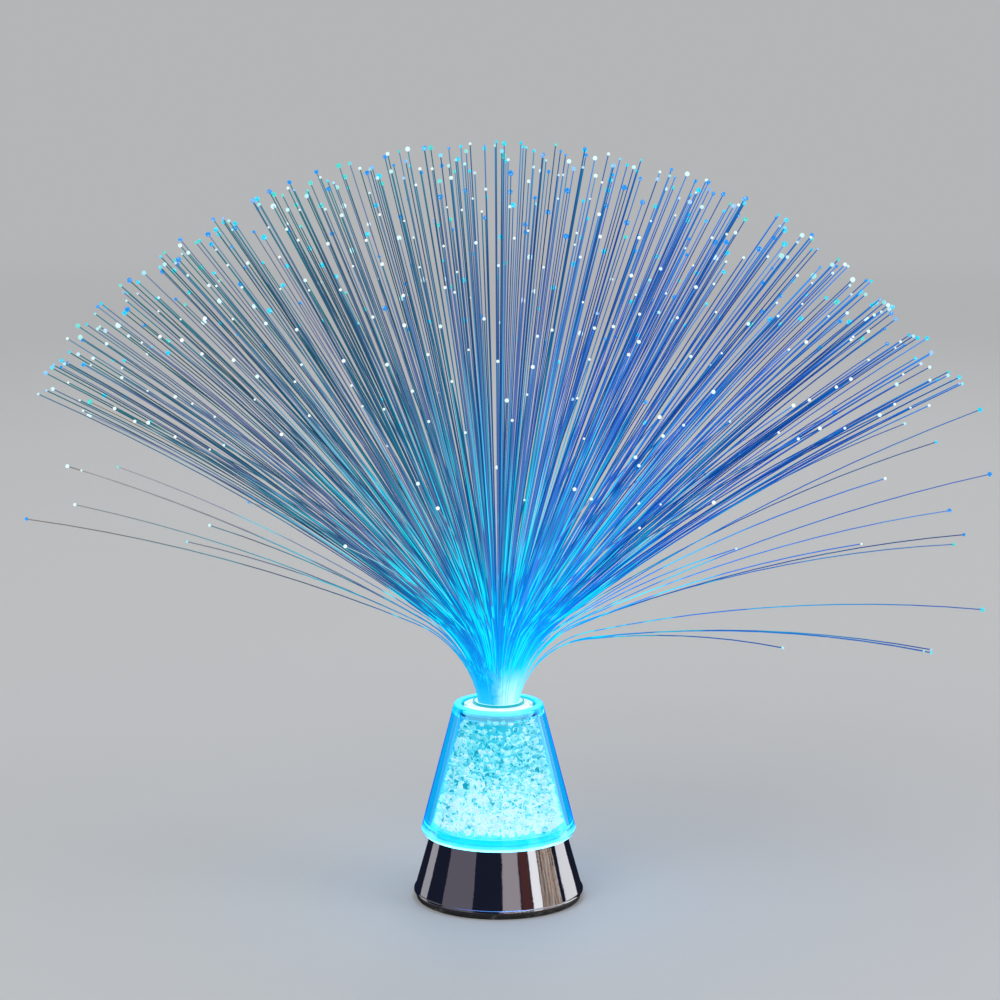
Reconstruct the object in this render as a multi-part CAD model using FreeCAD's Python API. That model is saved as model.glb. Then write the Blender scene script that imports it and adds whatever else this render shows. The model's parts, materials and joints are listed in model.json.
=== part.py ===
import FreeCAD, Part
import itertools
import math
import os
import random

Vector = FreeCAD.Vector

# A battery lamp: a chrome base, a clear cone filled with crystal chips, and a spray of plastic light fibres.
# Sizes are in millimetres and angles in degrees. The lamp stands on z = 0 around the z axis, with its front at -y.

# Clearances
slip_gap = 0.05              # a sleeve that turns, or a screw in its pilot hole
loose_gap = 0.3              # parts that are dropped or pressed into a seat
chip_gap = 0.3               # between neighbouring crystal chips

# Rubber foot ring, in a step round the bottom plate's rim
foot_height = 1.0            # what stands out below the bottom plate
foot_seat_depth = 0.5
foot_width = 1.6
foot_round = 0.3

# Bottom plate
plate_radius = 33.9
plate_flange = 1.6           # thickness of the visible black edge
plate_thickness = 2.2
pad_radius = 3.6             # raised pads that the shell's screw posts stand on
pad_height = 1.8

# Chrome base shell
lip_radius = 35.0
lip_height = 1.2
lip_round = 0.45
shell_radius_low = 34.5
shell_radius_top = 28.0
shell_height = 24.4
shell_wall = 2.0
shell_round = 0.7
deck_thickness = 2.0
deck_hole_radius = 14.0

# Screws that hold the base together
base_screw_x = 22.5
base_screw_y = 8.5
base_screw_radius = 1.2
base_screw_length = 9.5      # above the pad
base_screw_head_radius = 2.3
base_screw_head_height = 1.4
post_radius = 3.0
cross_width = 0.6
cross_share = 0.55           # depth of a screw's cross slot as a share of its head

# Cells and their bay
cell_count = 3
cell_radius = 5.25
cell_length = 44.5
cell_nub_radius = 1.9
cell_nub_height = 0.8
cell_edge_round = 0.5
cell_spacing = 10.9
cell_floor_gap = 0.6         # between a cell and the door
bay_gap = 0.25
bay_wall = 0.9
contact_thickness = 0.4
contact_radius = 4.4
contact_strip = 4.0          # height of the strip that joins two contacts
contact_tab_width = 2.4
contact_tab_rise = 2.8       # how far a tab stands above the bay's roof

# Cell springs
spring_room = 4.7            # from the contact to the cell's flat end
spring_radius = 2.9
spring_wire_radius = 0.25
spring_turns = 4

# Battery door
door_thickness = 1.3
door_overlap_side = 1.0
door_overlap_end = 1.2
door_corner = 6.0
door_lift_gap = 0.1          # between the door and the ledge that it shuts against
hinge_pin_radius = 0.42
hinge_pin_length = 1.1
latch_radius = 0.45
latch_width = 6.0
grip_width = 14.0
grip_depth = 0.6
grip_groove_count = 3
grip_groove_width = 0.6
grip_groove_pitch = 1.8
grip_from_edge = 8.2         # from the door's free end to the middle groove

# Slide switch, on the underside
switch_x = 24.5
switch_width = 5.0
switch_length = 8.8
switch_height = 3.8
switch_wall = 0.65
slider_width = 1.8
slider_length = 2.2
slider_flange_width = 3.0
slider_flange_length = 5.0
slider_flange_height = 0.8
slider_recess = 0.4          # the knob stays this far inside the plate's underside
slider_groove = 0.3
switch_travel = 2.0
terminal_count = 3
terminal_width = 0.9
terminal_thickness = 0.5
terminal_height = 2.2
terminal_spacing = 2.6

# Light board
board_radius = 19.0
board_thickness = 1.6
board_drop = 4.4             # from the deck's underside to the board's top
board_screw_circle = 16.4
board_screw_radius = 1.0
board_screw_length = 4.6     # above the board
board_screw_head_radius = 1.9
board_screw_head_height = 1.2
board_post_radius = 2.2
centre_led_radius = 2.5
centre_led_rim = 0.4
centre_led_rim_height = 1.0
centre_led_height = 7.6
side_led_count = 6
side_led_circle = 10.5
side_led_size = 5.0
side_led_height = 1.6
side_led_window = 1.9
side_led_window_depth = 0.5
resistor_count = 3
resistor_start = 60.0        # direction of the first one
resistor_circle = 5.6
resistor_length = 3.2
resistor_width = 1.6
resistor_height = 0.6
chip_package_length = 5.0
chip_package_width = 4.0
chip_package_height = 1.6
chip_package_x = -6.0
chip_package_y = -1.0
connector_length = 8.0
connector_width = 4.0
connector_height = 2.6
connector_y = 10.5
lead_radius = 0.5
lead_bend_share = 0.45       # how much of the shorter run each bend takes up

# Clear cone
cone_radius_low = 31.85      # where it is widest
cone_radius_foot = 30.7
cone_foot_height = 2.1       # from its lower edge to its widest point
cone_radius_top = 18.15
cone_height = 54.8
cone_wall = 3.5
cone_round_top = 0.9
cone_round_low = 1.0
cone_rim = 2.4               # wall round the floor
cone_lip = 2.0

# Clear floor that closes the cone
floor_thickness = 2.3
floor_lift = 2.2             # from the deck to the floor's underside
floor_boss_radius = 3.0
floor_ring_wall = 0.9
floor_ring_depth = 1.4       # how far it reaches into the deck's hole
cone_screw_circle = 21.5
cone_screw_radius = 1.2
cone_screw_length = 5.6      # above the deck's underside
cone_screw_head_radius = 2.2
cone_screw_head_height = 1.4

# Plug in the cone's mouth, and the tube below it
plug_radius = 15.4
plug_sink = 0.8              # the plug's top lies this far below the cone's rim
plug_flange = 2.2
plug_skirt = 3.4
plug_skirt_wall = 3.2
plug_edge_round = 0.3
plug_slot_width = 2.0
plug_slot_angle = 24.0
plug_slot_depth = 1.0
plug_slot_margin = 0.5       # from the slot to the edge of the plug
tube_wall = 1.0

# Neck ring and ferrule
ring_wall = 1.3
ring_flange_width = 1.8
ring_flange = 0.8
ring_length = 20.0
ferrule_wall = 0.8
ferrule_head_width = 1.2
ferrule_head_height = 1.0
ferrule_flare_width = 0.85
ferrule_flare = 1.9
ferrule_length = 22.4
core_drop = 3.4              # from the ferrule's mouth down to the fibres' lower ends

# Fibres
fibre_radius = 0.225
fibre_spacing = 0.54         # between neighbours where they are bound
fibre_rings = 14
fibre_length = 230.5
fibre_length_spread = 5.0
short_fibre_share = 0.05
short_fibre_least = 0.55
tilt_outer = 63.0            # how far the tips of the outermost ring lean from upright
first_bend_length = 8.0
second_bend_length = 38.0
first_bend_share = 0.20      # of the whole lean
second_bend_share = 0.62
tilt_jitter = 0.3            # as a share of the angle between two rings
edge_sway = 4.0              # how far the dome's lower edge wanders up and down
edge_waves = ((5, 20.0), (9, 110.0), (16, 230.0))
ring_turn = 137.508          # each ring is turned this much against the one inside it
clump_count = 70
clump_reach = 6.5
clump_pull = 0.65
straight_below = 0.6         # a fibre that leans less than this is straight
fibre_seed = 11

# Loose fibres round the outside: direction round the axis, lean of the tip, and length
stray_fibres = [
    (-31.0, 69.5, 132.0), (-24.0, 77.0, 174.0), (-19.0, 97.0, 128.0), (-14.5, 97.5, 185.0),
    (-10.0, 99.0, 181.0), (-5.5, 100.5, 184.0), (-1.0, 95.0, 207.0), (3.5, 69.5, 232.0),
    (8.0, 79.0, 228.0), (12.5, 87.5, 215.0), (17.0, 85.0, 217.0), (21.5, 91.5, 224.0),
    (27.0, 79.0, 238.0), (33.0, 77.5, 240.0), (37.5, 70.0, 226.0), (42.5, 76.0, 232.0),
    (48.0, 80.0, 227.0), (71.0, 88.0, 219.0), (104.0, 78.5, 215.0), (127.0, 88.5, 204.0),
    (142.0, 75.5, 223.0), (148.0, 71.0, 226.0), (154.0, 69.5, 224.0), (158.5, 69.5, 222.0),
    (163.0, 69.5, 214.0), (169.0, 72.5, 188.0), (175.0, 74.0, 204.0), (180.0, 82.0, 210.0),
    (186.0, 76.5, 193.0), (193.0, 75.0, 148.0), (199.0, 69.5, 146.0), (206.0, 69.5, 208.0),
    (245.5, 69.5, 162.0), (263.5, 69.5, 216.0), (279.5, 69.5, 226.0), (288.5, 69.5, 188.0),
    (294.5, 69.5, 214.0), (321.5, 69.5, 214.0),
]

# Crystal chips
chip_pitch = 5.7
chip_points = 10
chip_least = 0.94            # how far a chip's corners reach towards the walls of its own room
chip_seed = 5
crystal_head_room = 0.8      # free space under the plug

# Heights that follow
plate_bottom = foot_height
shell_bottom = plate_bottom + plate_flange
plate_top = plate_bottom + plate_thickness
pad_top = plate_top + pad_height
deck_top = shell_bottom + shell_height
deck_bottom = deck_top - deck_thickness
deck_middle = deck_bottom + deck_thickness / 2
board_top = deck_bottom - board_drop
board_bottom = board_top - board_thickness
floor_bottom = deck_top + floor_lift
floor_top = floor_bottom + floor_thickness
cone_top = deck_top + cone_height
plug_top = cone_top - plug_sink
plug_seat = plug_top - plug_flange
plug_bottom = plug_seat - plug_skirt
lip_bottom = plug_seat - cone_lip
ring_top = plug_top + ring_flange
mouth_top = ring_top + ferrule_head_height
fibre_foot = mouth_top - core_drop

# Radii that follow, from the fibres outwards
foot_inner_radius = plate_radius - foot_width
bundle_radius = (fibre_rings + 1) * fibre_spacing + fibre_radius
core_radius = bundle_radius + slip_gap
ferrule_bore = core_radius + slip_gap
ferrule_outer = ferrule_bore + ferrule_wall
ring_bore = ferrule_outer + slip_gap
ring_radius = ring_bore + ring_wall
ring_flange_radius = ring_radius + ring_flange_width
plug_bore = ring_radius + loose_gap
plug_skirt_radius = plug_bore + plug_skirt_wall
cone_lip_radius = plug_skirt_radius + loose_gap
tube_bore = plug_bore
tube_radius = tube_bore + tube_wall
floor_radius = cone_radius_foot - cone_rim - loose_gap

# The battery bay and its door
door_bottom = plate_bottom
door_top = door_bottom + door_thickness
ledge_bottom = door_top + door_lift_gap
cell_axis = door_top + cell_floor_gap + cell_radius
bay_radius = cell_radius + bay_gap
bay_top = cell_axis + bay_radius + bay_wall
bay_half_length = (cell_length + spring_room) / 2 + contact_thickness
bay_half_width = (cell_count - 1) / 2 * cell_spacing + bay_radius
door_half_width = bay_half_width + door_overlap_side
door_half_length = bay_half_length + door_overlap_end
hinge_y = -door_half_length + door_thickness / 2
hinge_z = (door_bottom + door_top) / 2


def disc(radius, low, high, x=0.0, y=0.0):
    return Part.makeCylinder(radius, high - low, Vector(x, y, low))


def block(x_size, y_size, low, high, x=0.0, y=0.0):
    corner = Vector(x - x_size / 2, y - y_size / 2, low)
    return Part.makeBox(x_size, y_size, high - low, corner)


def along_y(radius, x, z, low, high):
    return Part.makeCylinder(radius, high - low, Vector(x, low, z), Vector(0, 1, 0))


def turned(profile):
    """A solid of revolution from (radius, height) points."""
    points = [Vector(radius, 0, height) for radius, height in profile]
    face = Part.Face(Part.makePolygon(points + points[:1]))
    return face.revolve(Vector(0, 0, 0), Vector(0, 0, 1), 360)


def rounded(solid, amount, corners, x=0.0, y=0.0):
    """Round the circular edges that lie at the given (radius, height) corners."""
    edges = []
    for edge in solid.Edges:
        if edge.Curve.TypeId != "Part::GeomCircle":
            continue
        centre = edge.Curve.Center
        for radius, height in corners:
            same_size = abs(edge.Curve.Radius - radius) < 0.01 and abs(centre.z - height) < 0.01
            if same_size and math.hypot(centre.x - x, centre.y - y) < 0.01:
                edges.append(edge)
    return solid.makeFillet(amount, edges)


def fused(shapes):
    return shapes[0].multiFuse(shapes[1:]).removeSplitter()


def around(shape, angles):
    """Copies of a shape, turned about the lamp's axis."""
    copies = []
    for angle in angles:
        copy = shape.copy()
        copy.rotate(Vector(0, 0, 0), Vector(0, 0, 1), angle)
        copies.append(copy)
    return copies


def corners_of(x, y):
    return [(side_x * x, side_y * y) for side_x in (-1, 1) for side_y in (-1, 1)]


def even_angles(count, start=0.0):
    return [start + 360 / count * step for step in range(count)]


def pan_screw(x, y, seat, length, radius, head_radius, head_height):
    """A screw driven upwards: its head lies below the seat, and its shank above."""
    low = seat - head_height
    screw = disc(head_radius, low, seat, x, y).fuse(disc(radius, seat, seat + length, x, y))
    depth = head_height * cross_share
    for x_size, y_size in ((head_radius, cross_width), (cross_width, head_radius)):
        screw = screw.cut(block(x_size, y_size, low, low + depth, x, y))
    return screw


def path_tube(edges, radius, start, direction):
    """A round tube along a smooth path."""
    section = Part.Wire([Part.makeCircle(radius, start, direction)])
    return Part.Wire(edges).makePipeShell([section], True, False)


# Chrome base shell

def shell_outside(height):
    low = shell_bottom + lip_height
    slope = (shell_radius_low - shell_radius_top) / (deck_top - low)
    return shell_radius_low - (height - low) * slope


def shell_inside(height):
    return shell_outside(height) - shell_wall


base_screw_places = corners_of(base_screw_x, base_screw_y)
board_screw_angles = even_angles(3)
cone_screw_angles = even_angles(4, 45)


def make_base_shell():
    lip_top = shell_bottom + lip_height
    shell = turned([
        (shell_inside(shell_bottom), shell_bottom), (lip_radius, shell_bottom), (lip_radius, lip_top),
        (shell_radius_low, lip_top), (shell_radius_top, deck_top), (deck_hole_radius, deck_top),
        (deck_hole_radius, deck_bottom), (shell_inside(deck_bottom), deck_bottom),
    ])
    shell = rounded(shell, lip_round, [(lip_radius, lip_top), (lip_radius, shell_bottom)])
    shell = rounded(shell, shell_round, [(shell_radius_top, deck_top)])
    envelope = turned([
        (0, shell_bottom), (shell_outside(shell_bottom) - shell_wall / 2, shell_bottom),
        (shell_outside(deck_top) - shell_wall / 2, deck_top), (0, deck_top),
    ])
    posts = [disc(post_radius, pad_top, deck_middle, x, y) for x, y in base_screw_places]
    board_post = disc(board_post_radius, board_top, deck_middle, board_screw_circle)
    posts += around(board_post, board_screw_angles)
    shell = fused([shell] + [post.common(envelope) for post in posts])
    holes = [
        disc(base_screw_radius + slip_gap, pad_top, pad_top + base_screw_length, x, y)
        for x, y in base_screw_places
    ]
    board_hole = disc(
        board_screw_radius + slip_gap, board_top, board_top + board_screw_length, board_screw_circle)
    cone_hole = disc(cone_screw_radius + loose_gap, deck_bottom, deck_top, cone_screw_circle)
    holes += around(board_hole, board_screw_angles) + around(cone_hole, cone_screw_angles)
    for hole in holes:
        shell = shell.cut(hole)
    return shell


# Cells lie head to tail, so each has its flat end at the other end from its neighbour's

def cell_places():
    first = -(cell_count - 1) / 2 * cell_spacing
    return [first + cell_spacing * step for step in range(cell_count)]


def flat_end(step):
    return -1 if step % 2 == 0 else 1


def make_cell(step):
    x = cell_places()[step]
    end = flat_end(step)
    flat = end * (bay_half_length - contact_thickness - spring_room)
    tip = -end * (bay_half_length - contact_thickness)
    shoulder = tip + end * cell_nub_height
    body = along_y(cell_radius, x, cell_axis, min(flat, shoulder), max(flat, shoulder))
    body = body.makeFillet(cell_edge_round, [
        edge for edge in body.Edges if edge.BoundBox.YLength < cell_edge_round
    ])
    nub = along_y(cell_nub_radius, x, cell_axis, min(shoulder, tip), max(shoulder, tip))
    return body.fuse(nub)


# Contacts join neighbouring cells, and the two free ones have a tab for a lead

def contact_plate(places, end):
    outer = end * bay_half_length
    inner = end * (bay_half_length - contact_thickness)
    low, high = min(outer, inner), max(outer, inner)
    shapes = [along_y(contact_radius, x, cell_axis, low, high) for x in places]
    if len(places) > 1:
        width = places[-1] - places[0]
        middle = (places[0] + places[-1]) / 2
        shapes.append(block(
            width, contact_thickness, cell_axis - contact_strip, cell_axis, middle, (low + high) / 2))
    else:
        shapes.append(block(
            contact_tab_width, contact_thickness, cell_axis, bay_top + contact_tab_rise,
            places[0], (low + high) / 2))
    return fused(shapes)


def tab_places():
    """The free contacts: the first cell's flat end and the last cell's nub."""
    places = cell_places()
    return [(places[0], flat_end(0)), (places[-1], -flat_end(cell_count - 1))]


def make_contact_plates():
    places = cell_places()
    plates = [contact_plate([x], end) for x, end in tab_places()]
    for step in range(cell_count - 1):
        plates.append(contact_plate(places[step:step + 2], -flat_end(step)))
    return plates


# Springs press on the cells' flat ends

def helix_point(turn, pitch):
    angle = 2 * math.pi * turn
    return Vector(spring_radius * math.cos(angle), pitch * turn, spring_radius * math.sin(angle))


def helix_heading(turn, pitch):
    angle = 2 * math.pi * turn
    rise = pitch / (2 * math.pi)
    heading = Vector(-spring_radius * math.sin(angle), rise, spring_radius * math.cos(angle))
    return heading.normalize()


def arc_from(start, heading, finish):
    """The circular arc from a start point and heading to a finish point."""
    chord = finish - start
    along = Vector(chord).normalize()
    side = heading - along * heading.dot(along)
    half_turn = math.atan2(side.Length, heading.dot(along))
    crown = (start + finish) * 0.5 + side.normalize() * (chord.Length / 2 * math.tan(half_turn / 2))
    return Part.Arc(start, crown, finish).toShape()


def two_arcs(start, start_heading, finish, finish_heading):
    """Two arcs that leave and arrive along the given headings and meet smoothly."""
    chord = finish - start
    both = start_heading + finish_heading
    spread = 2 * (1 - start_heading.dot(finish_heading))
    reach = chord.dot(both)
    handle = (math.sqrt(reach * reach + spread * chord.dot(chord)) - reach) / spread
    meeting = (start + start_heading * handle + finish - finish_heading * handle) * 0.5
    second = arc_from(finish, finish_heading * -1, meeting)
    second.reverse()
    return [arc_from(start, start_heading, meeting), second]


def coil_self_gap(pitch):
    """The least gap between one turn of a coil and the next, over half a turn each way."""
    here = helix_point(1, pitch)
    others = [helix_point(1.5 + step / 100, pitch) for step in range(101)]
    return min(here.distanceToPoint(other) for other in others) - 2 * spring_wire_radius


def make_spring(step):
    length = spring_room - 2 * (spring_wire_radius + slip_gap)
    pitch = length / spring_turns
    print("spring's least gap to itself", round(coil_self_gap(pitch), 3))
    edges = []
    for quarter in range(spring_turns * 4):
        here, there = quarter / 4, (quarter + 1) / 4
        edges += two_arcs(
            helix_point(here, pitch), helix_heading(here, pitch),
            helix_point(there, pitch), helix_heading(there, pitch))
    coil = path_tube(edges, spring_wire_radius, helix_point(0, pitch), helix_heading(0, pitch))
    end = flat_end(step)
    outer = bay_half_length - contact_thickness - slip_gap - spring_wire_radius
    if end > 0:
        coil.rotate(Vector(0, 0, 0), Vector(0, 0, 1), 180)
    coil.translate(Vector(cell_places()[step], end * outer, cell_axis))
    return coil


# Bottom plate with its battery bay

def bay_form(radius, half_length, low):
    """Half round rooms over the cells, open downwards to a height."""
    half_width = cell_places()[-1] + radius
    rooms = [along_y(radius, x, cell_axis, -half_length, half_length) for x in cell_places()]
    rooms.append(block(2 * half_width, 2 * half_length, low, cell_axis))
    return fused(rooms)


def door_outline(grow, low, high):
    """The door's plan: square at the hinge end and rounded at the latch end."""
    plan = block(2 * (door_half_width + grow), 2 * (door_half_length + grow), low, high)
    far_corners = [
        edge for edge in plan.Edges
        if edge.BoundBox.ZLength > (high - low) / 2 and edge.BoundBox.YMin > 0
    ]
    return plan.makeFillet(door_corner + grow, far_corners)


def hinge_pin(side, radius, reach):
    """A pin on the door's hinge line, from inside the door's edge outwards."""
    start = Vector(side * (door_half_width - hinge_pin_length), hinge_y, hinge_z)
    return Part.makeCylinder(radius, hinge_pin_length + reach, start, Vector(side, 0, 0))


def switch_slot(low, high):
    length = slider_length + switch_travel + 2 * loose_gap
    return block(slider_width + 2 * loose_gap, length, low, high, switch_x)


def make_bottom_plate():
    flange = disc(plate_radius, plate_bottom + foot_seat_depth, shell_bottom)
    base = disc(foot_inner_radius - slip_gap, plate_bottom, shell_bottom)
    spigot = disc(shell_inside(shell_bottom) - loose_gap, plate_bottom + foot_seat_depth, plate_top)
    shell_room = turned([
        (0, plate_bottom), (shell_inside(plate_bottom) - loose_gap, plate_bottom),
        (shell_inside(deck_bottom) - loose_gap, deck_bottom), (0, deck_bottom),
    ])
    bay = bay_form(bay_radius + bay_wall, bay_half_length + bay_wall, plate_bottom).common(shell_room)
    pads = [disc(pad_radius, plate_bottom, pad_top, x, y) for x, y in base_screw_places]
    plate = fused([flange, base, spigot, bay] + pads)
    cuts = [
        bay_form(bay_radius, bay_half_length, plate_bottom),
        door_outline(loose_gap, plate_bottom, ledge_bottom),
        switch_slot(plate_bottom, plate_top),
    ]
    for side in (-1, 1):
        cuts.append(hinge_pin(side, hinge_pin_radius + slip_gap, hinge_pin_length + loose_gap))
    for x, y in base_screw_places:
        cuts.append(disc(base_screw_radius + loose_gap, plate_bottom, pad_top, x, y))
        cuts.append(disc(base_screw_head_radius + loose_gap, plate_bottom, shell_bottom, x, y))
    for x, end in tab_places():
        cuts.append(block(
            contact_tab_width + 2 * loose_gap, contact_thickness + 2 * slip_gap,
            cell_axis, bay_top + loose_gap, x, end * (bay_half_length - contact_thickness / 2)))
    for cut in cuts:
        plate = plate.cut(cut)
    return plate


def make_foot_ring():
    ring_top_height = plate_bottom + foot_seat_depth
    ring = disc(plate_radius, 0, ring_top_height).cut(disc(foot_inner_radius, 0, ring_top_height))
    return rounded(ring, foot_round, [(plate_radius, 0), (foot_inner_radius, 0)])


def make_base_screws():
    length = pad_top - shell_bottom + base_screw_length - loose_gap
    return [
        pan_screw(
            x, y, shell_bottom, length, base_screw_radius, base_screw_head_radius, base_screw_head_height)
        for x, y in base_screw_places
    ]


def make_battery_door():
    door = door_outline(0, door_bottom, door_top)
    hinge_edges = [
        edge for edge in door.Edges
        if edge.BoundBox.YMax < -door_half_length + slip_gap and edge.BoundBox.XLength > door_half_width
    ]
    door = door.makeFillet(door_thickness / 2 - slip_gap, hinge_edges)
    latch = Part.makeCylinder(
        latch_radius, latch_width, Vector(-latch_width / 2, door_half_length - latch_radius / 2, hinge_z),
        Vector(1, 0, 0))
    parts = [door, latch] + [hinge_pin(side, hinge_pin_radius, hinge_pin_length) for side in (-1, 1)]
    door = fused(parts)
    first_groove = door_half_length - grip_from_edge - (grip_groove_count - 1) / 2 * grip_groove_pitch
    for step in range(grip_groove_count):
        groove_y = first_groove + step * grip_groove_pitch
        door = door.cut(block(
            grip_width, grip_groove_width, door_bottom, door_bottom + grip_depth, 0, groove_y))
    return door


# Slide switch: a box on the plate, with its knob in the plate's slot

def make_switch_body():
    top = plate_top + switch_height
    body = block(switch_width, switch_length, plate_top, top, switch_x)
    room = block(
        switch_width - 2 * switch_wall, switch_length - 2 * switch_wall,
        plate_top + switch_wall, top - switch_wall, switch_x)
    return body.cut(room).cut(switch_slot(plate_top, plate_top + switch_wall))


def make_switch_slider():
    rest_y = switch_travel / 2
    low = plate_bottom + slider_recess
    flange_low = plate_top + switch_wall + slip_gap
    flange = block(
        slider_flange_width, slider_flange_length, flange_low, flange_low + slider_flange_height,
        switch_x, rest_y)
    slider = flange.fuse(block(slider_width, slider_length, low, flange_low, switch_x, rest_y))
    for side in (-1, 1):
        groove_y = rest_y + side * slider_length / 4
        slider = slider.cut(block(slider_width, slider_groove, low, low + slider_groove, switch_x, groove_y))
    return slider.removeSplitter()


def terminal_places():
    first = -(terminal_count - 1) / 2 * terminal_spacing
    return [first + terminal_spacing * step for step in range(terminal_count)]


def make_switch_terminals():
    low = plate_top + switch_height
    return [
        block(terminal_width, terminal_thickness, low, low + terminal_height, switch_x, y)
        for y in terminal_places()
    ]


# Light board with its lamps

def make_light_board():
    board = disc(board_radius, board_bottom, board_top)
    hole = disc(board_screw_radius + loose_gap, board_bottom, board_top, board_screw_circle)
    for cut in around(hole, board_screw_angles):
        board = board.cut(cut)
    return board


def make_board_screws():
    length = board_thickness + board_screw_length - loose_gap
    screw = pan_screw(
        board_screw_circle, 0, board_bottom, length, board_screw_radius,
        board_screw_head_radius, board_screw_head_height)
    return around(screw, board_screw_angles)


def make_centre_led():
    dome_low = board_top + centre_led_height - centre_led_radius
    return fused([
        disc(centre_led_radius + centre_led_rim, board_top, board_top + centre_led_rim_height),
        disc(centre_led_radius, board_top, dome_low),
        Part.makeSphere(centre_led_radius, Vector(0, 0, dome_low)),
    ])


def make_side_leds():
    top = board_top + side_led_height
    led = block(side_led_size, side_led_size, board_top, top, side_led_circle)
    led = led.cut(disc(side_led_window, top - side_led_window_depth, top, side_led_circle))
    return around(led, even_angles(side_led_count))


def make_resistors():
    resistor = block(
        resistor_length, resistor_width, board_top, board_top + resistor_height, resistor_circle)
    return around(resistor, even_angles(resistor_count, resistor_start))


def make_control_chip():
    return block(
        chip_package_length, chip_package_width, board_bottom - chip_package_height, board_bottom,
        chip_package_x, chip_package_y)


def make_lead_connector():
    return block(
        connector_length, connector_width, board_bottom - connector_height, board_bottom, 0, connector_y)


# Leads run over the bay's roof, each straight run joined to the next by an arc

def lead_along(points):
    points = [Vector(*point) for point in points]
    runs = [there - here for here, there in zip(points, points[1:])]
    edges = []
    radii = []
    here = points[0]
    for corner, before, after in zip(points[1:-1], runs, runs[1:]):
        back = Vector(before).normalize()
        ahead = Vector(after).normalize()
        reach = lead_bend_share * min(before.Length, after.Length)
        start = corner - back * reach
        finish = corner + ahead * reach
        edges.append(Part.LineSegment(here, start).toShape())
        edges.append(arc_from(start, back, finish))
        radii.append(round(reach / math.tan(back.getAngle(ahead) / 2), 1))
        here = finish
    edges.append(Part.LineSegment(here, points[-1]).toShape())
    print("lead bend radii", radii)
    return path_tube(edges, lead_radius, points[0], runs[0])


def lead_height():
    """Half way between the bay's roof and the light board."""
    return (bay_top + board_bottom) / 2


def tab_face(index):
    """Where a lead meets a contact's tab."""
    x, end = tab_places()[index]
    return x, end * (bay_half_length - contact_thickness), end


def terminal_top(index):
    return switch_x, terminal_places()[index], plate_top + switch_height + terminal_height


def make_lead_positive():
    x, y, end = tab_face(1)
    z = lead_height()
    side = connector_y + connector_width / 2
    goal = connector_length / 4
    return lead_along([
        (x, y, z), (x, y - 3.2, z), (x - 2.4, y - 6.4, z), (goal + 2.2, side + 4.6, z),
        (goal, side + 2.6, z), (goal, side, z),
    ])


def make_lead_negative():
    x, y, end = tab_face(0)
    z = lead_height()
    goal_x, goal_y, goal_z = terminal_top(0)
    return lead_along([
        (x, y, z), (x, y + 4.0, z), (x + 2.6, y + 8.0, z), (x + 8.5, y + 11.0, z),
        (x + 15.0, y + 12.0, z), (x + 21.0, y + 14.5, z), (goal_x - 9.0, goal_y - 3.0, z - 0.3),
        (goal_x - 5.0, goal_y - 0.8, z - 1.0), (goal_x - 1.2, goal_y, z - 2.6), (goal_x, goal_y, goal_z + 3.0),
        (goal_x, goal_y, goal_z),
    ])


def make_lead_switched():
    x, y, z_low = terminal_top(terminal_count - 1)
    z = lead_height()
    side = connector_length / 2
    return lead_along([
        (x, y, z_low), (x, y, z_low + 3.0), (x - 1.2, y + 0.6, z - 2.6), (x - 5.0, y + 2.4, z - 1.0),
        (x - 9.5, y + 4.6, z - 0.2), (side + 6.5, connector_y - 1.2, z), (side + 3.0, connector_y, z),
        (side, connector_y, z),
    ])


# Clear cone, its floor, and the tube up its middle

def cone_outside(height):
    low = deck_top + cone_foot_height
    slope = (cone_radius_low - cone_radius_top) / (cone_top - low)
    return cone_radius_low - (height - low) * slope


def cone_inside(height):
    return cone_outside(height) - cone_wall


def make_cone_shell():
    seat = floor_radius + loose_gap
    mouth = plug_radius + loose_gap
    shell = turned([
        (seat, deck_top), (cone_radius_foot, deck_top), (cone_radius_low, deck_top + cone_foot_height),
        (cone_radius_top, cone_top), (mouth, cone_top), (mouth, plug_seat), (cone_lip_radius, plug_seat),
        (cone_lip_radius, lip_bottom), (cone_inside(lip_bottom), lip_bottom),
        (cone_inside(floor_top), floor_top), (seat, floor_top),
    ])
    shell = rounded(shell, cone_round_top, [(cone_radius_top, cone_top)])
    return rounded(shell, cone_round_low, [
        (cone_radius_foot, deck_top), (cone_radius_low, deck_top + cone_foot_height)])


def make_cone_floor():
    plate = disc(floor_radius, floor_bottom, floor_top)
    ring_outer = deck_hole_radius - loose_gap
    ring = turned([
        (ring_outer - floor_ring_wall, deck_top - floor_ring_depth), (ring_outer, deck_top - floor_ring_depth),
        (ring_outer, floor_bottom), (ring_outer - floor_ring_wall, floor_bottom),
    ])
    boss = disc(floor_boss_radius, deck_top, floor_bottom, cone_screw_circle)
    floor = fused([plate, ring] + around(boss, cone_screw_angles))
    hole = disc(cone_screw_radius + slip_gap, deck_top, deck_bottom + cone_screw_length, cone_screw_circle)
    for cut in around(hole, cone_screw_angles):
        floor = floor.cut(cut)
    return floor


def make_cone_screws():
    screw = pan_screw(
        cone_screw_circle, 0, deck_bottom, cone_screw_length - loose_gap, cone_screw_radius,
        cone_screw_head_radius, cone_screw_head_height)
    return around(screw, cone_screw_angles)


def make_light_tube():
    return disc(tube_radius, floor_top, plug_bottom).cut(disc(tube_bore, floor_top, plug_bottom))


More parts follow.
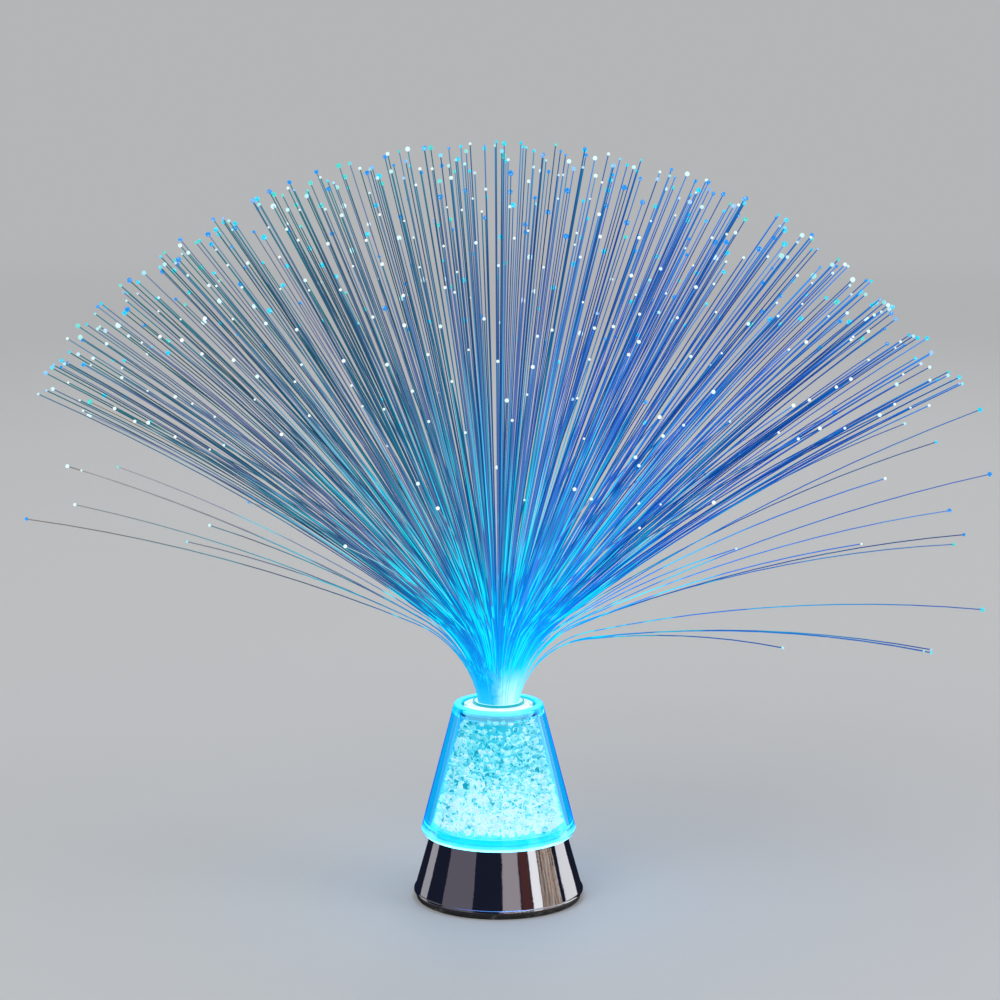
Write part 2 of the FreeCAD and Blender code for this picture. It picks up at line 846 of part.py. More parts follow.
def make_neck_plug():
    plug = turned([
        (plug_bore, plug_bottom), (plug_skirt_radius, plug_bottom), (plug_skirt_radius, plug_seat),
        (plug_radius, plug_seat), (plug_radius, plug_top), (plug_bore, plug_top),
    ])
    plug = rounded(plug, plug_edge_round, [(plug_radius, plug_top)])
    slot_outer = plug_radius - plug_slot_margin
    slot_inner = slot_outer - plug_slot_width
    slot_low = plug_top - plug_slot_depth
    centre = Vector(0, 0, slot_low)
    wedge = Part.makeCylinder(slot_outer, plug_slot_depth, centre, Vector(0, 0, 1), plug_slot_angle)
    wedge = wedge.cut(disc(slot_inner, slot_low, plug_top))
    for slot in around(wedge, (-plug_slot_angle / 2, 180 - plug_slot_angle / 2)):
        plug = plug.cut(slot)
    return plug


def make_neck_ring():
    return turned([
        (ring_bore, ring_top - ring_length), (ring_radius, ring_top - ring_length), (ring_radius, plug_top),
        (ring_flange_radius, plug_top), (ring_flange_radius, ring_top), (ring_bore, ring_top),
    ])


def make_ferrule():
    bottom = mouth_top - ferrule_length
    return turned([
        (ferrule_bore, bottom), (ferrule_outer, bottom), (ferrule_outer, ring_top),
        (ferrule_outer + ferrule_head_width, ring_top), (ferrule_outer + ferrule_head_width, mouth_top),
        (ferrule_bore + ferrule_flare_width, mouth_top), (ferrule_bore, mouth_top - ferrule_flare),
    ])


def make_bundle_core():
    """The fibres' lower ends, bound and polished as one rod."""
    return disc(core_radius, mouth_top - ferrule_length, fibre_foot)


# Fibres: each rises from the core, bends outwards and droops a little towards its tip

def make_fibre(foot_radius_at, foot_angle, azimuth, tilt, length):
    bends = [
        (first_bend_length, first_bend_share),
        (second_bend_length, second_bend_share),
        (length - first_bend_length - second_bend_length, 1 - first_bend_share - second_bend_share),
    ]
    if tilt < straight_below:
        fibre = disc(fibre_radius, 0, length)
    else:
        edges = []
        here = Vector(0, 0, 0)
        lean = 0.0
        for bend_length, share in bends:
            turn = math.radians(tilt) * share
            radius = bend_length / turn
            centre = here + Vector(math.cos(lean), 0, -math.sin(lean)) * radius
            stops = []
            for angle in (lean + turn / 2, lean + turn):
                stops.append(centre + Vector(-math.cos(angle), 0, math.sin(angle)) * radius)
            edges.append(Part.Arc(here, stops[0], stops[1]).toShape())
            here = stops[1]
            lean += turn
        fibre = path_tube(edges, fibre_radius, Vector(0, 0, 0), Vector(0, 0, 1))
    fibre.rotate(Vector(0, 0, 0), Vector(0, 0, 1), azimuth)
    angle = math.radians(foot_angle)
    fibre.translate(Vector(foot_radius_at * math.cos(angle), foot_radius_at * math.sin(angle), fibre_foot))
    return fibre


def ring_tilt(ring):
    """Leans that spread the tips evenly over the dome."""
    reach = math.sin(math.radians(tilt_outer) / 2) * ring / fibre_rings
    return math.degrees(2 * math.asin(reach))


def edge_shift(ring, angle):
    """An uneven lower edge: it matters most in the outermost rings."""
    waves = [math.sin(math.radians(count * angle + start)) for count, start in edge_waves]
    return edge_sway * sum(waves) / len(waves) * (ring / fibre_rings) ** 4


def far_from(point, others, least):
    return all(math.hypot(point[0] - x, point[1] - y) > least for x, y in others)


def clump_centres(draw):
    """Places on the dome where neighbouring fibres lean together."""
    centres = []
    for attempt in range(clump_count * 6):
        tilt = ring_tilt(fibre_rings * math.sqrt(draw.random()))
        angle = draw.uniform(0, 2 * math.pi)
        point = (tilt * math.cos(angle), tilt * math.sin(angle))
        if len(centres) < clump_count and far_from(point, centres, 2 * clump_reach):
            centres.append(point)
    return centres


def pulled(x, y, centres):
    """Draw a direction towards the clump that it lies in."""
    for centre_x, centre_y in centres:
        away = math.hypot(x - centre_x, y - centre_y) / clump_reach
        if away < 1:
            keep = 1 - clump_pull * (1 - away * away)
            return centre_x + (x - centre_x) * keep, centre_y + (y - centre_y) * keep
    return x, y


def make_fibre_rings():
    draw = random.Random(fibre_seed)
    centres = clump_centres(draw)
    rings = []
    for ring in range(fibre_rings + 1):
        fibres = []
        step = ring_tilt(min(ring + 1, fibre_rings)) - ring_tilt(min(ring, fibre_rings - 1))
        for angle in even_angles(max(1, 6 * ring), ring * ring_turn):
            tilt = ring_tilt(ring) + edge_shift(ring, angle)
            shift = step * tilt_jitter * math.sqrt(draw.random())
            shift_angle = draw.uniform(0, 2 * math.pi)
            x = tilt * math.cos(math.radians(angle)) + shift * math.cos(shift_angle)
            y = tilt * math.sin(math.radians(angle)) + shift * math.sin(shift_angle)
            x, y = pulled(x, y, centres)
            length = fibre_length - fibre_length_spread * draw.random() ** 2
            if draw.random() < short_fibre_share:
                length *= draw.uniform(short_fibre_least, 1)
            azimuth = math.degrees(math.atan2(y, x))
            fibres.append(make_fibre(ring * fibre_spacing, angle, azimuth, math.hypot(x, y), length))
        rings.append(fibres)
    return rings


def make_stray_fibres():
    foot = (fibre_rings + 1) * fibre_spacing
    return [make_fibre(foot, azimuth, azimuth, tilt, length) for azimuth, tilt, length in stray_fibres]


# Crystal chips fill the cone in layers, each chip in a room of its own

def hull_of(points):
    """The solid whose corners are the outermost of the points."""
    faces = []
    for a, b, c in itertools.combinations(points, 3):
        normal = (b - a).cross(c - a)
        sides = [normal.dot(point - a) for point in points if point not in (a, b, c)]
        if max(sides) < 0 or min(sides) > 0:
            faces.append(Part.Face(Part.makePolygon([a, b, c, a])))
    solid = Part.Solid(Part.Shell(faces))
    return solid if solid.Volume > 0 else solid.reversed()


def make_chip(draw, low_radius, high_radius, middle_angle, half_angle, low, high):
    """A sharp-edged chip: its first six corners each reach one wall of its room."""
    points = []
    for corner in range(chip_points):
        place = [draw.uniform(-1, 1) for axis in range(3)]
        if corner < 6:
            place[corner % 3] = 1 if corner < 3 else -1
        reach = draw.uniform(chip_least, 1) / max(abs(value) for value in place)
        out, turn, up = [value * reach for value in place]
        radius = (low_radius + high_radius) / 2 + out * (high_radius - low_radius) / 2
        angle = middle_angle + turn * half_angle
        height = (low + high) / 2 + up * (high - low) / 2
        points.append(Vector(radius * math.cos(angle), radius * math.sin(angle), height))
    return hull_of(points)


def make_crystal_layers():
    draw = random.Random(chip_seed)
    bottom, top = floor_top, plug_bottom - crystal_head_room
    layer_count = max(1, int((top - bottom) / chip_pitch))
    layer_height = (top - bottom) / layer_count
    layers = []
    for layer in range(layer_count):
        low = bottom + layer * layer_height
        high = low + layer_height
        inner = tube_radius
        outer = cone_inside(high)
        ring_count = max(1, round((outer - inner) / chip_pitch))
        ring_width = (outer - inner) / ring_count
        chips = []
        for ring in range(ring_count):
            ring_inner = inner + ring * ring_width
            count = int(2 * math.pi * (ring_inner + ring_width / 2) / chip_pitch)
            half_room = math.pi / count
            near = (ring_inner + chip_gap / 2) / math.cos(half_room)
            far = ring_inner + ring_width - chip_gap / 2
            half_angle = half_room - chip_gap / 2 / near
            for step in range(count):
                angle = (2 * step + layer) * half_room
                chips.append(make_chip(
                    draw, near, far, angle, half_angle, low + chip_gap / 2, high - chip_gap / 2))
        layers.append(chips)
    return layers


def make_nodes():
    nodes = {
        "foot_ring": make_foot_ring(),
        "bottom_plate": make_bottom_plate(),
        "base_screws": make_base_screws(),
        "battery_door": make_battery_door(),
        "contact_plates": make_contact_plates(),
        "switch_body": make_switch_body(),
        "switch_slider": make_switch_slider(),
        "switch_terminals": make_switch_terminals(),
        "base_shell": make_base_shell(),
        "light_board": make_light_board(),
        "board_screws": make_board_screws(),
        "centre_led": make_centre_led(),
        "side_leds": make_side_leds(),
        "resistors": make_resistors(),
        "control_chip": make_control_chip(),
        "lead_connector": make_lead_connector(),
        "lead_positive": make_lead_positive(),
        "lead_negative": make_lead_negative(),
        "lead_switched": make_lead_switched(),
        "cone_shell": make_cone_shell(),
        "cone_floor": make_cone_floor(),
        "cone_screws": make_cone_screws(),
        "light_tube": make_light_tube(),
        "neck_plug": make_neck_plug(),
        "neck_ring": make_neck_ring(),
        "ferrule": make_ferrule(),
        "bundle_core": make_bundle_core(),
    }
    for step in range(cell_count):
        nodes[f"battery_cell_{step + 1}"] = make_cell(step)
        nodes[f"battery_spring_{step + 1}"] = make_spring(step)
    for layer, chips in enumerate(make_crystal_layers()):
        nodes[f"crystal_layer_{layer + 1}"] = chips
    rings = make_fibre_rings()
    nodes["fibre_centre"] = rings[0] + rings[1] + rings[2]
    for ring in range(3, len(rings)):
        nodes[f"fibre_ring_{ring:02d}"] = rings[ring]
    nodes["fibre_strays"] = make_stray_fibres()
    return nodes


os.makedirs("parts", exist_ok=True)
for name, shape in make_nodes().items():
    if isinstance(shape, list):
        shape = Part.makeCompound(shape)
    shape.exportStep(f"parts/{name}.step")
    print(name, len(shape.Solids), round(shape.Volume, 1))
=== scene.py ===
import json
import math
import random

import bmesh
import bpy
import numpy as np
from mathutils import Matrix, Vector

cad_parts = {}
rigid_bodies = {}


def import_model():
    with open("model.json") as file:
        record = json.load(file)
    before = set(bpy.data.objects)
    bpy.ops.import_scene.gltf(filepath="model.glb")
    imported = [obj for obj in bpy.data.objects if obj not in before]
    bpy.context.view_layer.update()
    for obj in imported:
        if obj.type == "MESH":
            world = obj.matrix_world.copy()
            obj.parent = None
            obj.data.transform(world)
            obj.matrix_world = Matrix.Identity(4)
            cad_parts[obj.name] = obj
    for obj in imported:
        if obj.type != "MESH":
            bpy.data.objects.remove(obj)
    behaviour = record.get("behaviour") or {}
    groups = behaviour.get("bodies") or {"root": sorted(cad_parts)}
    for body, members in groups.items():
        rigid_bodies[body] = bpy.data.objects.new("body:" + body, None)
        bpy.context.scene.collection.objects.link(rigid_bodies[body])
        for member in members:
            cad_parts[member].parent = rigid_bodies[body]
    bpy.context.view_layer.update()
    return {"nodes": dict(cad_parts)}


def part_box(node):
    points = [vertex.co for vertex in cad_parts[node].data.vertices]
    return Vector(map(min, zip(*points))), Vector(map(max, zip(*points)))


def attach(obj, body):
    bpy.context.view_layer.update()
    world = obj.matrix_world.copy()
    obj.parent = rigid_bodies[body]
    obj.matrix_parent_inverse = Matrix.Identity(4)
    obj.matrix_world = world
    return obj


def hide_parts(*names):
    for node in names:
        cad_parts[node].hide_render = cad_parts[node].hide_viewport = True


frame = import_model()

cadNodes = frame["nodes"]
scene = bpy.context.scene
for leftover in [thing for thing in scene.objects if thing.name in ("Cube", "Light", "Camera")]:
    bpy.data.objects.remove(leftover)
print("frame loaded with", len(cadNodes), "nodes")

# Heights of the lamp's main seats, read from the pieces themselves
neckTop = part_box("ferrule")[1].z
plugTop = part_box("neck_plug")[1].z
coneLow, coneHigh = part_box("cone_shell")
floorLow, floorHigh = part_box("cone_floor")

# How strongly clear plastic bends light
plasticIndex = 1.49


# Small helpers for building node trees

def setInput(tree, node, name, value):
    if isinstance(value, bpy.types.NodeSocket):
        tree.links.new(value, node.inputs[name])
    else:
        node.inputs[name].default_value = value


def addNode(tree, kind, inputs=None, **settings):
    node = tree.nodes.new(kind)
    for name, value in settings.items():
        setattr(node, name, value)
    for name, value in (inputs or {}).items():
        setInput(tree, node, name, value)
    return node


def opaque(colour):
    return (*colour, 1.0)


def scaled(colour, share):
    return tuple(value * share for value in colour)


def mathNode(tree, operation, first, second=0.0, clamp=False):
    return addNode(
        tree, "ShaderNodeMath", {0: first, 1: second}, operation=operation, use_clamp=clamp,
    ).outputs[0]


def product(tree, first, *others):
    for other in others:
        first = mathNode(tree, "MULTIPLY", first, other)
    return first


def vectorNode(tree, operation, inputs, output="Vector"):
    node = addNode(tree, "ShaderNodeVectorMath", inputs, operation=operation)
    return node.outputs[output]


def axisOf(tree, vector, axis):
    return addNode(tree, "ShaderNodeSeparateXYZ", {"Vector": vector}).outputs[axis]


def mixColour(tree, factor, first, second):
    return addNode(
        tree, "ShaderNodeMix", {0: factor, 6: first, 7: second}, data_type="RGBA",
    ).outputs[2]


def mixShader(tree, factor, first, second):
    return addNode(tree, "ShaderNodeMixShader", {0: factor, 1: first, 2: second}).outputs["Shader"]


def mapRange(tree, value, low, high, outLow=0.0, outHigh=1.0, kind="SMOOTHSTEP"):
    return addNode(tree, "ShaderNodeMapRange", {
        "Value": value, "From Min": low, "From Max": high, "To Min": outLow, "To Max": outHigh,
    }, interpolation_type=kind).outputs["Result"]


def rampNode(tree, value, stops, interpolation="LINEAR"):
    node = addNode(tree, "ShaderNodeValToRGB", {"Fac": value})
    ramp = node.color_ramp
    ramp.interpolation = interpolation
    while len(ramp.elements) < len(stops):
        ramp.elements.new(0.5)
    for element, (position, colour) in zip(ramp.elements, stops):
        element.position = position
        element.color = opaque(colour)
    return node.outputs["Color"]


def noiseAt(tree, place, scale, detail=2.0):
    return addNode(tree, "ShaderNodeTexNoise", {
        "Vector": place, "Scale": scale, "Detail": detail,
    }).outputs["Fac"]


def driftAt(tree, place, scale, spread, detail=2.0):
    # Noise that goes as far below nought as above it
    level = mathNode(tree, "SUBTRACT", noiseAt(tree, place, scale, detail), 0.5)
    return product(tree, level, spread)


def objectPlace(tree):
    return addNode(tree, "ShaderNodeTexCoord").outputs["Object"]


def newMaterial(name, **values):
    material = bpy.data.materials.new(name)
    material.use_nodes = True
    tree = material.node_tree
    shader = tree.nodes["Principled BSDF"]
    for key, value in values.items():
        given = opaque(value) if isinstance(value, tuple) else value
        shader.inputs[key.replace("_", " ")].default_value = given
    return material, tree, shader


def startGroup(name, outputName, outputKind, inputs):
    # Numbers become value sockets, and triples become colour sockets
    group = bpy.data.node_groups.new(name, "ShaderNodeTree")
    for label, value in inputs.items():
        isColour = isinstance(value, tuple)
        kind = "NodeSocketColor" if isColour else "NodeSocketFloat"
        socket = group.interface.new_socket(label, in_out="INPUT", socket_type=kind)
        socket.default_value = opaque(value) if isColour else value
    group.interface.new_socket(outputName, in_out="OUTPUT", socket_type=outputKind)
    return group, group.nodes.new("NodeGroupInput"), group.nodes.new("NodeGroupOutput")


def useGroup(tree, group, inputs):
    return addNode(tree, "ShaderNodeGroup", inputs, node_tree=group).outputs[0]


def paint(nodeName, material):
    mesh = cadNodes[nodeName].data
    mesh.materials.clear()
    mesh.materials.append(material)


# Effects that several finishes share

effects = {
    "smudgeDetail": 5.0, "grainDetail": 3.0, "grainHeight": 0.0002, "glowScale": 90.0,
    "dustColour": (0.62, 0.62, 0.60), "dustScale": 420.0, "dustDetail": 6.0,
    "speckFrom": 0.52, "speckTo": 0.72, "downward": -0.2, "downwardShare": 0.35,
}


def makeSmudges():
    group, given, result = startGroup("handledSmudges", "Roughness", "NodeSocketFloat", {
        "Roughness": 0.3, "Spread": 0.1, "Scale": 60.0,
    })
    drift = driftAt(
        group, objectPlace(group), given.outputs["Scale"], given.outputs["Spread"],
        effects["smudgeDetail"])
    level = mathNode(group, "ADD", drift, given.outputs["Roughness"], clamp=True)
    group.links.new(level, result.inputs["Roughness"])
    return group


def makeGrain():
    group, given, result = startGroup("mouldedGrain", "Normal", "NodeSocketVector", {
        "Scale": 900.0, "Depth": 0.2,
    })
    noise = noiseAt(group, objectPlace(group), given.outputs["Scale"], effects["grainDetail"])
    bump = addNode(group, "ShaderNodeBump", {
        "Strength": given.outputs["Depth"], "Distance": effects["grainHeight"], "Height": noise,
    })
    group.links.new(bump.outputs["Normal"], result.inputs["Normal"])
    return group


def makeDust():
    # Pale dust and fine scuffs, more of it on faces that look up
    group, given, result = startGroup("settledDust", "Colour", "NodeSocketColor", {
        "Colour": (0.5, 0.5, 0.5), "Amount": 0.1,
    })
    noise = noiseAt(group, objectPlace(group), effects["dustScale"], effects["dustDetail"])
    specks = mapRange(group, noise, effects["speckFrom"], effects["speckTo"])
    up = axisOf(group, addNode(group, "ShaderNodeNewGeometry").outputs["Normal"], "Z")
    facing = mapRange(group, up, effects["downward"], 1.0, effects["downwardShare"], 1.0)
    mask = product(group, specks, facing, given.outputs["Amount"])
    colour = mixColour(group, mask, given.outputs["Colour"], opaque(effects["dustColour"]))
    group.links.new(colour, result.inputs["Colour"])
    return group


def makeHeightGlow():
    # A colour that runs from one height to another, with a slow drift in it
    group, given, result = startGroup("heightGlow", "Colour", "NodeSocketColor", {
        "Low colour": (1.0, 1.0, 1.0), "High colour": (0.0, 0.5, 1.0),
        "Low": 0.0, "High": 0.1, "Drift": 0.15,
    })
    place = objectPlace(group)
    share = mapRange(group, axisOf(group, place, "Z"), given.outputs["Low"], given.outputs["High"])
    drift = driftAt(group, place, effects["glowScale"], given.outputs["Drift"])
    factor = mathNode(group, "ADD", share, drift, clamp=True)
    colour = mixColour(group, factor, given.outputs["Low colour"], given.outputs["High colour"])
    group.links.new(colour, result.inputs["Colour"])
    return group


smudges = makeSmudges()
grain = makeGrain()
dust = makeDust()
heightGlow = makeHeightGlow()
print("shared effects ready")


def setRoughness(tree, shader, roughness, **others):
    level = useGroup(tree, smudges, {"Roughness": roughness, **others})
    setInput(tree, shader, "Roughness", level)


def glowBetween(tree, low, high, lowColour, highColour, drift):
    return useGroup(tree, heightGlow, {
        "Low colour": opaque(lowColour), "High colour": opaque(highColour),
        "Low": low, "High": high, "Drift": drift,
    })


# Plain opaque finishes of the base, the bay and the board

plainFinishes = {
    "footRubber": {"colour": (0.018, 0.018, 0.020), "roughness": 0.78,
                   "spread": 0.15, "grain": 0.35, "dust": 0.25},
    "blackPlastic": {"colour": (0.034, 0.034, 0.038), "roughness": 0.46,
                     "spread": 0.16, "grain": 0.22, "dust": 0.10},
    "doorPlastic": {"colour": (0.048, 0.048, 0.053), "roughness": 0.55,
                    "spread": 0.14, "grain": 0.40, "dust": 0.12},
    "switchPlastic": {"colour": (0.060, 0.060, 0.066), "roughness": 0.40,
                      "spread": 0.10, "grain": 0.12, "dust": 0.05},
    "sliderPlastic": {"colour": (0.20, 0.20, 0.21), "roughness": 0.48,
                      "spread": 0.12, "grain": 0.25, "dust": 0.12},
    "resistorBody": {"colour": (0.05, 0.05, 0.05), "roughness": 0.50,
                     "spread": 0.10, "grain": 0.15, "dust": 0.02},
    "chipBody": {"colour": (0.03, 0.03, 0.035), "roughness": 0.58,
                 "spread": 0.10, "grain": 0.30, "dust": 0.02},
    "connectorPlastic": {"colour": (0.80, 0.77, 0.68), "roughness": 0.42,
                         "spread": 0.10, "grain": 0.15, "dust": 0.02},
    "leadRed": {"colour": (0.50, 0.03, 0.025), "roughness": 0.38,
                "spread": 0.12, "grain": 0.08, "dust": 0.02},
    "leadBlack": {"colour": (0.02, 0.02, 0.022), "roughness": 0.38,
                  "spread": 0.12, "grain": 0.08, "dust": 0.02},
}


def makePlain(name):
    finish = plainFinishes[name]
    material, tree, shader = newMaterial(name)
    setInput(tree, shader, "Base Color", useGroup(tree, dust, {
        "Colour": opaque(finish["colour"]), "Amount": finish["dust"],
    }))
    setRoughness(tree, shader, finish["roughness"], Spread=finish["spread"])
    setInput(tree, shader, "Normal", useGroup(tree, grain, {"Depth": finish["grain"]}))
    return material


metalFinishes = {
    "screwSteel": {"colour": (0.60, 0.60, 0.61), "roughness": 0.34,
                   "spread": 0.20, "scale": 300.0},
    "contactNickel": {"colour": (0.74, 0.72, 0.67), "roughness": 0.26,
                      "spread": 0.18, "scale": 220.0},
}
metalWear = {"scale": 700.0, "detail": 4.0, "from": 0.35, "to": 0.7, "wornShare": 0.72}


def makeMetal(name):
    finish = metalFinishes[name]
    material, tree, shader = newMaterial(name, Metallic=1.0)
    noise = noiseAt(tree, objectPlace(tree), metalWear["scale"], metalWear["detail"])
    mask = mapRange(tree, noise, metalWear["from"], metalWear["to"])
    worn = opaque(scaled(finish["colour"], metalWear["wornShare"]))
    setInput(tree, shader, "Base Color", mixColour(tree, mask, worn, opaque(finish["colour"])))
    setRoughness(tree, shader, finish["roughness"], Spread=finish["spread"], Scale=finish["scale"])
    return material


# Bright plating on moulded plastic: nearly a mirror, with faint waves, wipe marks and a few pits
chromePlating = {
    "colour": (0.78, 0.79, 0.82), "roughness": 0.045, "spread": 0.07, "wipeScale": 45.0,
    "waveScale": 70.0, "waveDepth": 0.10, "waveHeight": 0.001,
    "pitScale": 1500.0, "pitDepth": 0.05, "pitHeight": 0.0001, "detail": 1.0,
}


def makeChrome():
    look = chromePlating
    material, tree, shader = newMaterial("chromePlating", Metallic=1.0, Base_Color=look["colour"])
    place = objectPlace(tree)
    wave = addNode(tree, "ShaderNodeBump", {
        "Strength": look["waveDepth"], "Distance": look["waveHeight"],
        "Height": noiseAt(tree, place, look["waveScale"], look["detail"]),
    })
    pits = addNode(tree, "ShaderNodeBump", {
        "Strength": look["pitDepth"], "Distance": look["pitHeight"],
        "Height": noiseAt(tree, place, look["pitScale"], look["detail"]),
        "Normal": wave.outputs["Normal"],
    })
    setRoughness(tree, shader, look["roughness"], Spread=look["spread"], Scale=look["wipeScale"])
    setInput(tree, shader, "Normal", pits.outputs["Normal"])
    return material


# The cells' sleeve: a dark body and a gold band at the nub's end, with no marks
cellSleeve = {
    "body": (0.015, 0.060, 0.045), "band": (0.78, 0.46, 0.12), "metal": (0.72, 0.71, 0.69),
    "bandShare": 0.24, "nubShare": 0.03, "flatShare": 0.985, "bandMetal": 0.8,
    "roughness": 0.28, "wipeScale": 120.0,
}


def makeCellSleeve(nodeName, nubEnd):
    look = cellSleeve
    low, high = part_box(nodeName)
    nubAt, flatAt = (high.y, low.y) if nubEnd > 0 else (low.y, high.y)
    material, tree, shader = newMaterial("cellSleeve_" + nodeName[-1])
    share = mapRange(tree, axisOf(tree, objectPlace(tree), "Y"), nubAt, flatAt, kind="LINEAR")
    band = mathNode(tree, "LESS_THAN", share, look["bandShare"])
    nub = mathNode(tree, "LESS_THAN", share, look["nubShare"])
    flat = mathNode(tree, "GREATER_THAN", share, look["flatShare"])
    bare = mathNode(tree, "MAXIMUM", nub, flat)
    jacket = mixColour(tree, band, opaque(look["body"]), opaque(look["band"]))
    shine = mathNode(tree, "MAXIMUM", bare, product(tree, band, look["bandMetal"]))
    setInput(tree, shader, "Base Color", mixColour(tree, bare, jacket, opaque(look["metal"])))
    setInput(tree, shader, "Metallic", shine)
    setRoughness(tree, shader, look["roughness"], Scale=look["wipeScale"])
    return material


# Solder mask over tracks
boardLaminate = {
    "mask": (0.012, 0.12, 0.05), "track": (0.03, 0.20, 0.09), "trackScale": 260.0,
    "trackEdge": 0.03, "maskEdge": 0.07, "roughness": 0.32,
}


def makeLaminate():
    look = boardLaminate
    material, tree, shader = newMaterial("boardLaminate")
    cells = addNode(tree, "ShaderNodeTexVoronoi", {
        "Vector": objectPlace(tree), "Scale": look["trackScale"],
    }, distance="CHEBYCHEV", feature="DISTANCE_TO_EDGE")
    mask = mapRange(tree, cells.outputs["Distance"], look["trackEdge"], look["maskEdge"])
    colour = mixColour(tree, mask, opaque(look["track"]), opaque(look["mask"]))
    setInput(tree, shader, "Base Color", colour)
    setRoughness(tree, shader, look["roughness"])
    return material


# The clear cone: its wall soaks up red over its depth, and light comes out at its foot and its rim
clearCone = {
    "tint": (0.94, 0.985, 1.0), "roughness": 0.03, "spread": 0.03, "wipeScale": 70.0,
    "soak": (0.10, 0.74, 1.0), "soakDensity": 170.0, "driftScale": 120.0, "drift": 0.012,
    "face": (0.0, 0.02, 0.03), "faceTo": 0.36,
    "band": (0.0, 0.36, 0.78), "bandFrom": 0.50, "bandTo": 0.78,
    "edge": (0.0, 0.06, 0.72), "edgeFrom": 0.90,
    "foot": (0.35, 0.88, 1.0), "footShare": 0.016, "footBlend": 0.02,
    "rim": (0.0, 0.40, 0.48), "rimShare": 0.965, "rimBlend": 0.015,
    "rimEdge": (0.15, 0.80, 0.92), "rimEdgeShare": 0.992,
}


def makeClearCone():
    look = clearCone
    material, tree, shader = newMaterial(
        "clearCone", Base_Color=look["tint"], IOR=plasticIndex, Transmission_Weight=1.0,
        Emission_Strength=1.0)
    place = objectPlace(tree)
    share = mapRange(tree, axisOf(tree, place, "Z"), coneLow.z, coneHigh.z, kind="LINEAR")
    level = mathNode(tree, "ADD", share, driftAt(tree, place, look["driftScale"], look["drift"]))
    # Seen edge on, the wall is deeper and shows more of the light inside it
    facing = addNode(tree, "ShaderNodeLayerWeight", {"Blend": 0.5}).outputs["Facing"]
    glow = rampNode(tree, facing, (
        (0.0, look["face"]), (look["faceTo"], look["face"]), (look["bandFrom"], look["band"]),
        (look["bandTo"], look["band"]), (look["edgeFrom"], look["edge"]), (1.0, look["edge"])))
    rimAt, footAt = look["rimShare"], look["footShare"]
    for mask, colour in (
        (mapRange(tree, level, rimAt, rimAt + look["rimBlend"]), look["rim"]),
        (mapRange(tree, level, look["rimEdgeShare"], 1.0), look["rimEdge"]),
        (mapRange(tree, level, footAt, footAt + look["footBlend"], 1.0, 0.0), look["foot"]),
    ):
        glow = mixColour(tree, mask, glow, opaque(colour))
    setInput(tree, shader, "Emission Color", glow)
    setRoughness(tree, shader, look["roughness"], Spread=look["spread"], Scale=look["wipeScale"])
    soak = addNode(tree, "ShaderNodeVolumeAbsorption", {
        "Color": opaque(look["soak"]), "Density": look["soakDensity"],
    })
    tree.links.new(soak.outputs["Volume"], tree.nodes["Material Output"].inputs["Volume"])
    return material


# The other clear pieces, lit from below by the board's lamps
clearFinishes = {
    "clearFloor": {
        "tint": (0.20, 0.75, 0.90), "roughness": 0.12, "strength": 1.0, "transmission": 0.5,
        "lowGlow": (0.0, 0.42, 0.55), "highGlow": (0.0, 0.28, 0.42),
        "low": floorLow.z, "high": floorHigh.z,
    },
    "clearTube": {
        "tint": (0.10, 0.45, 0.50), "roughness": 0.35, "strength": 0.8, "transmission": 0.2,
        "lowGlow": (0.25, 0.75, 0.78), "highGlow": (0.0, 0.42, 0.48),
        "low": floorHigh.z, "high": coneHigh.z,
    },
    "ledLens": {
        "tint": (0.85, 0.97, 1.0), "roughness": 0.06, "strength": 2.0, "transmission": 0.5,
        "lowGlow": (0.5, 0.9, 1.0), "highGlow": (1.0, 1.0, 1.0), "low": 0.020, "high": 0.028,
    },
}
clearSurface = {"drift": 0.25, "spread": 0.03, "wipeScale": 70.0}


def makeClear(name):
    finish, surface = clearFinishes[name], clearSurface
    material, tree, shader = newMaterial(
        name, Base_Color=finish["tint"], IOR=plasticIndex,
        Transmission_Weight=finish["transmission"], Emission_Strength=finish["strength"])
    setInput(tree, shader, "Emission Color", glowBetween(
        tree, finish["low"], finish["high"], finish["lowGlow"], finish["highGlow"],
        surface["drift"]))
    setRoughness(
        tree, shader, finish["roughness"], Spread=surface["spread"], Scale=surface["wipeScale"])
    return material


# The side lamps: white bodies that glow towards their tops
ledPackage = {
    "body": (0.9, 0.92, 0.9), "dark": (0.0, 0.05, 0.06), "lit": (0.6, 1.0, 1.0),
    "roughness": 0.4, "strength": 1.6, "drift": 0.05,
}


def makeLedPackage():
    look = ledPackage
    low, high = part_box("side_leds")
    material, tree, shader = newMaterial(
        "ledPackage", Base_Color=look["body"], Roughness=look["roughness"],
        Emission_Strength=look["strength"])
    setInput(tree, shader, "Emission Color", glowBetween(
        tree, low.z, high.z, look["dark"], look["lit"], look["drift"]))
    return material


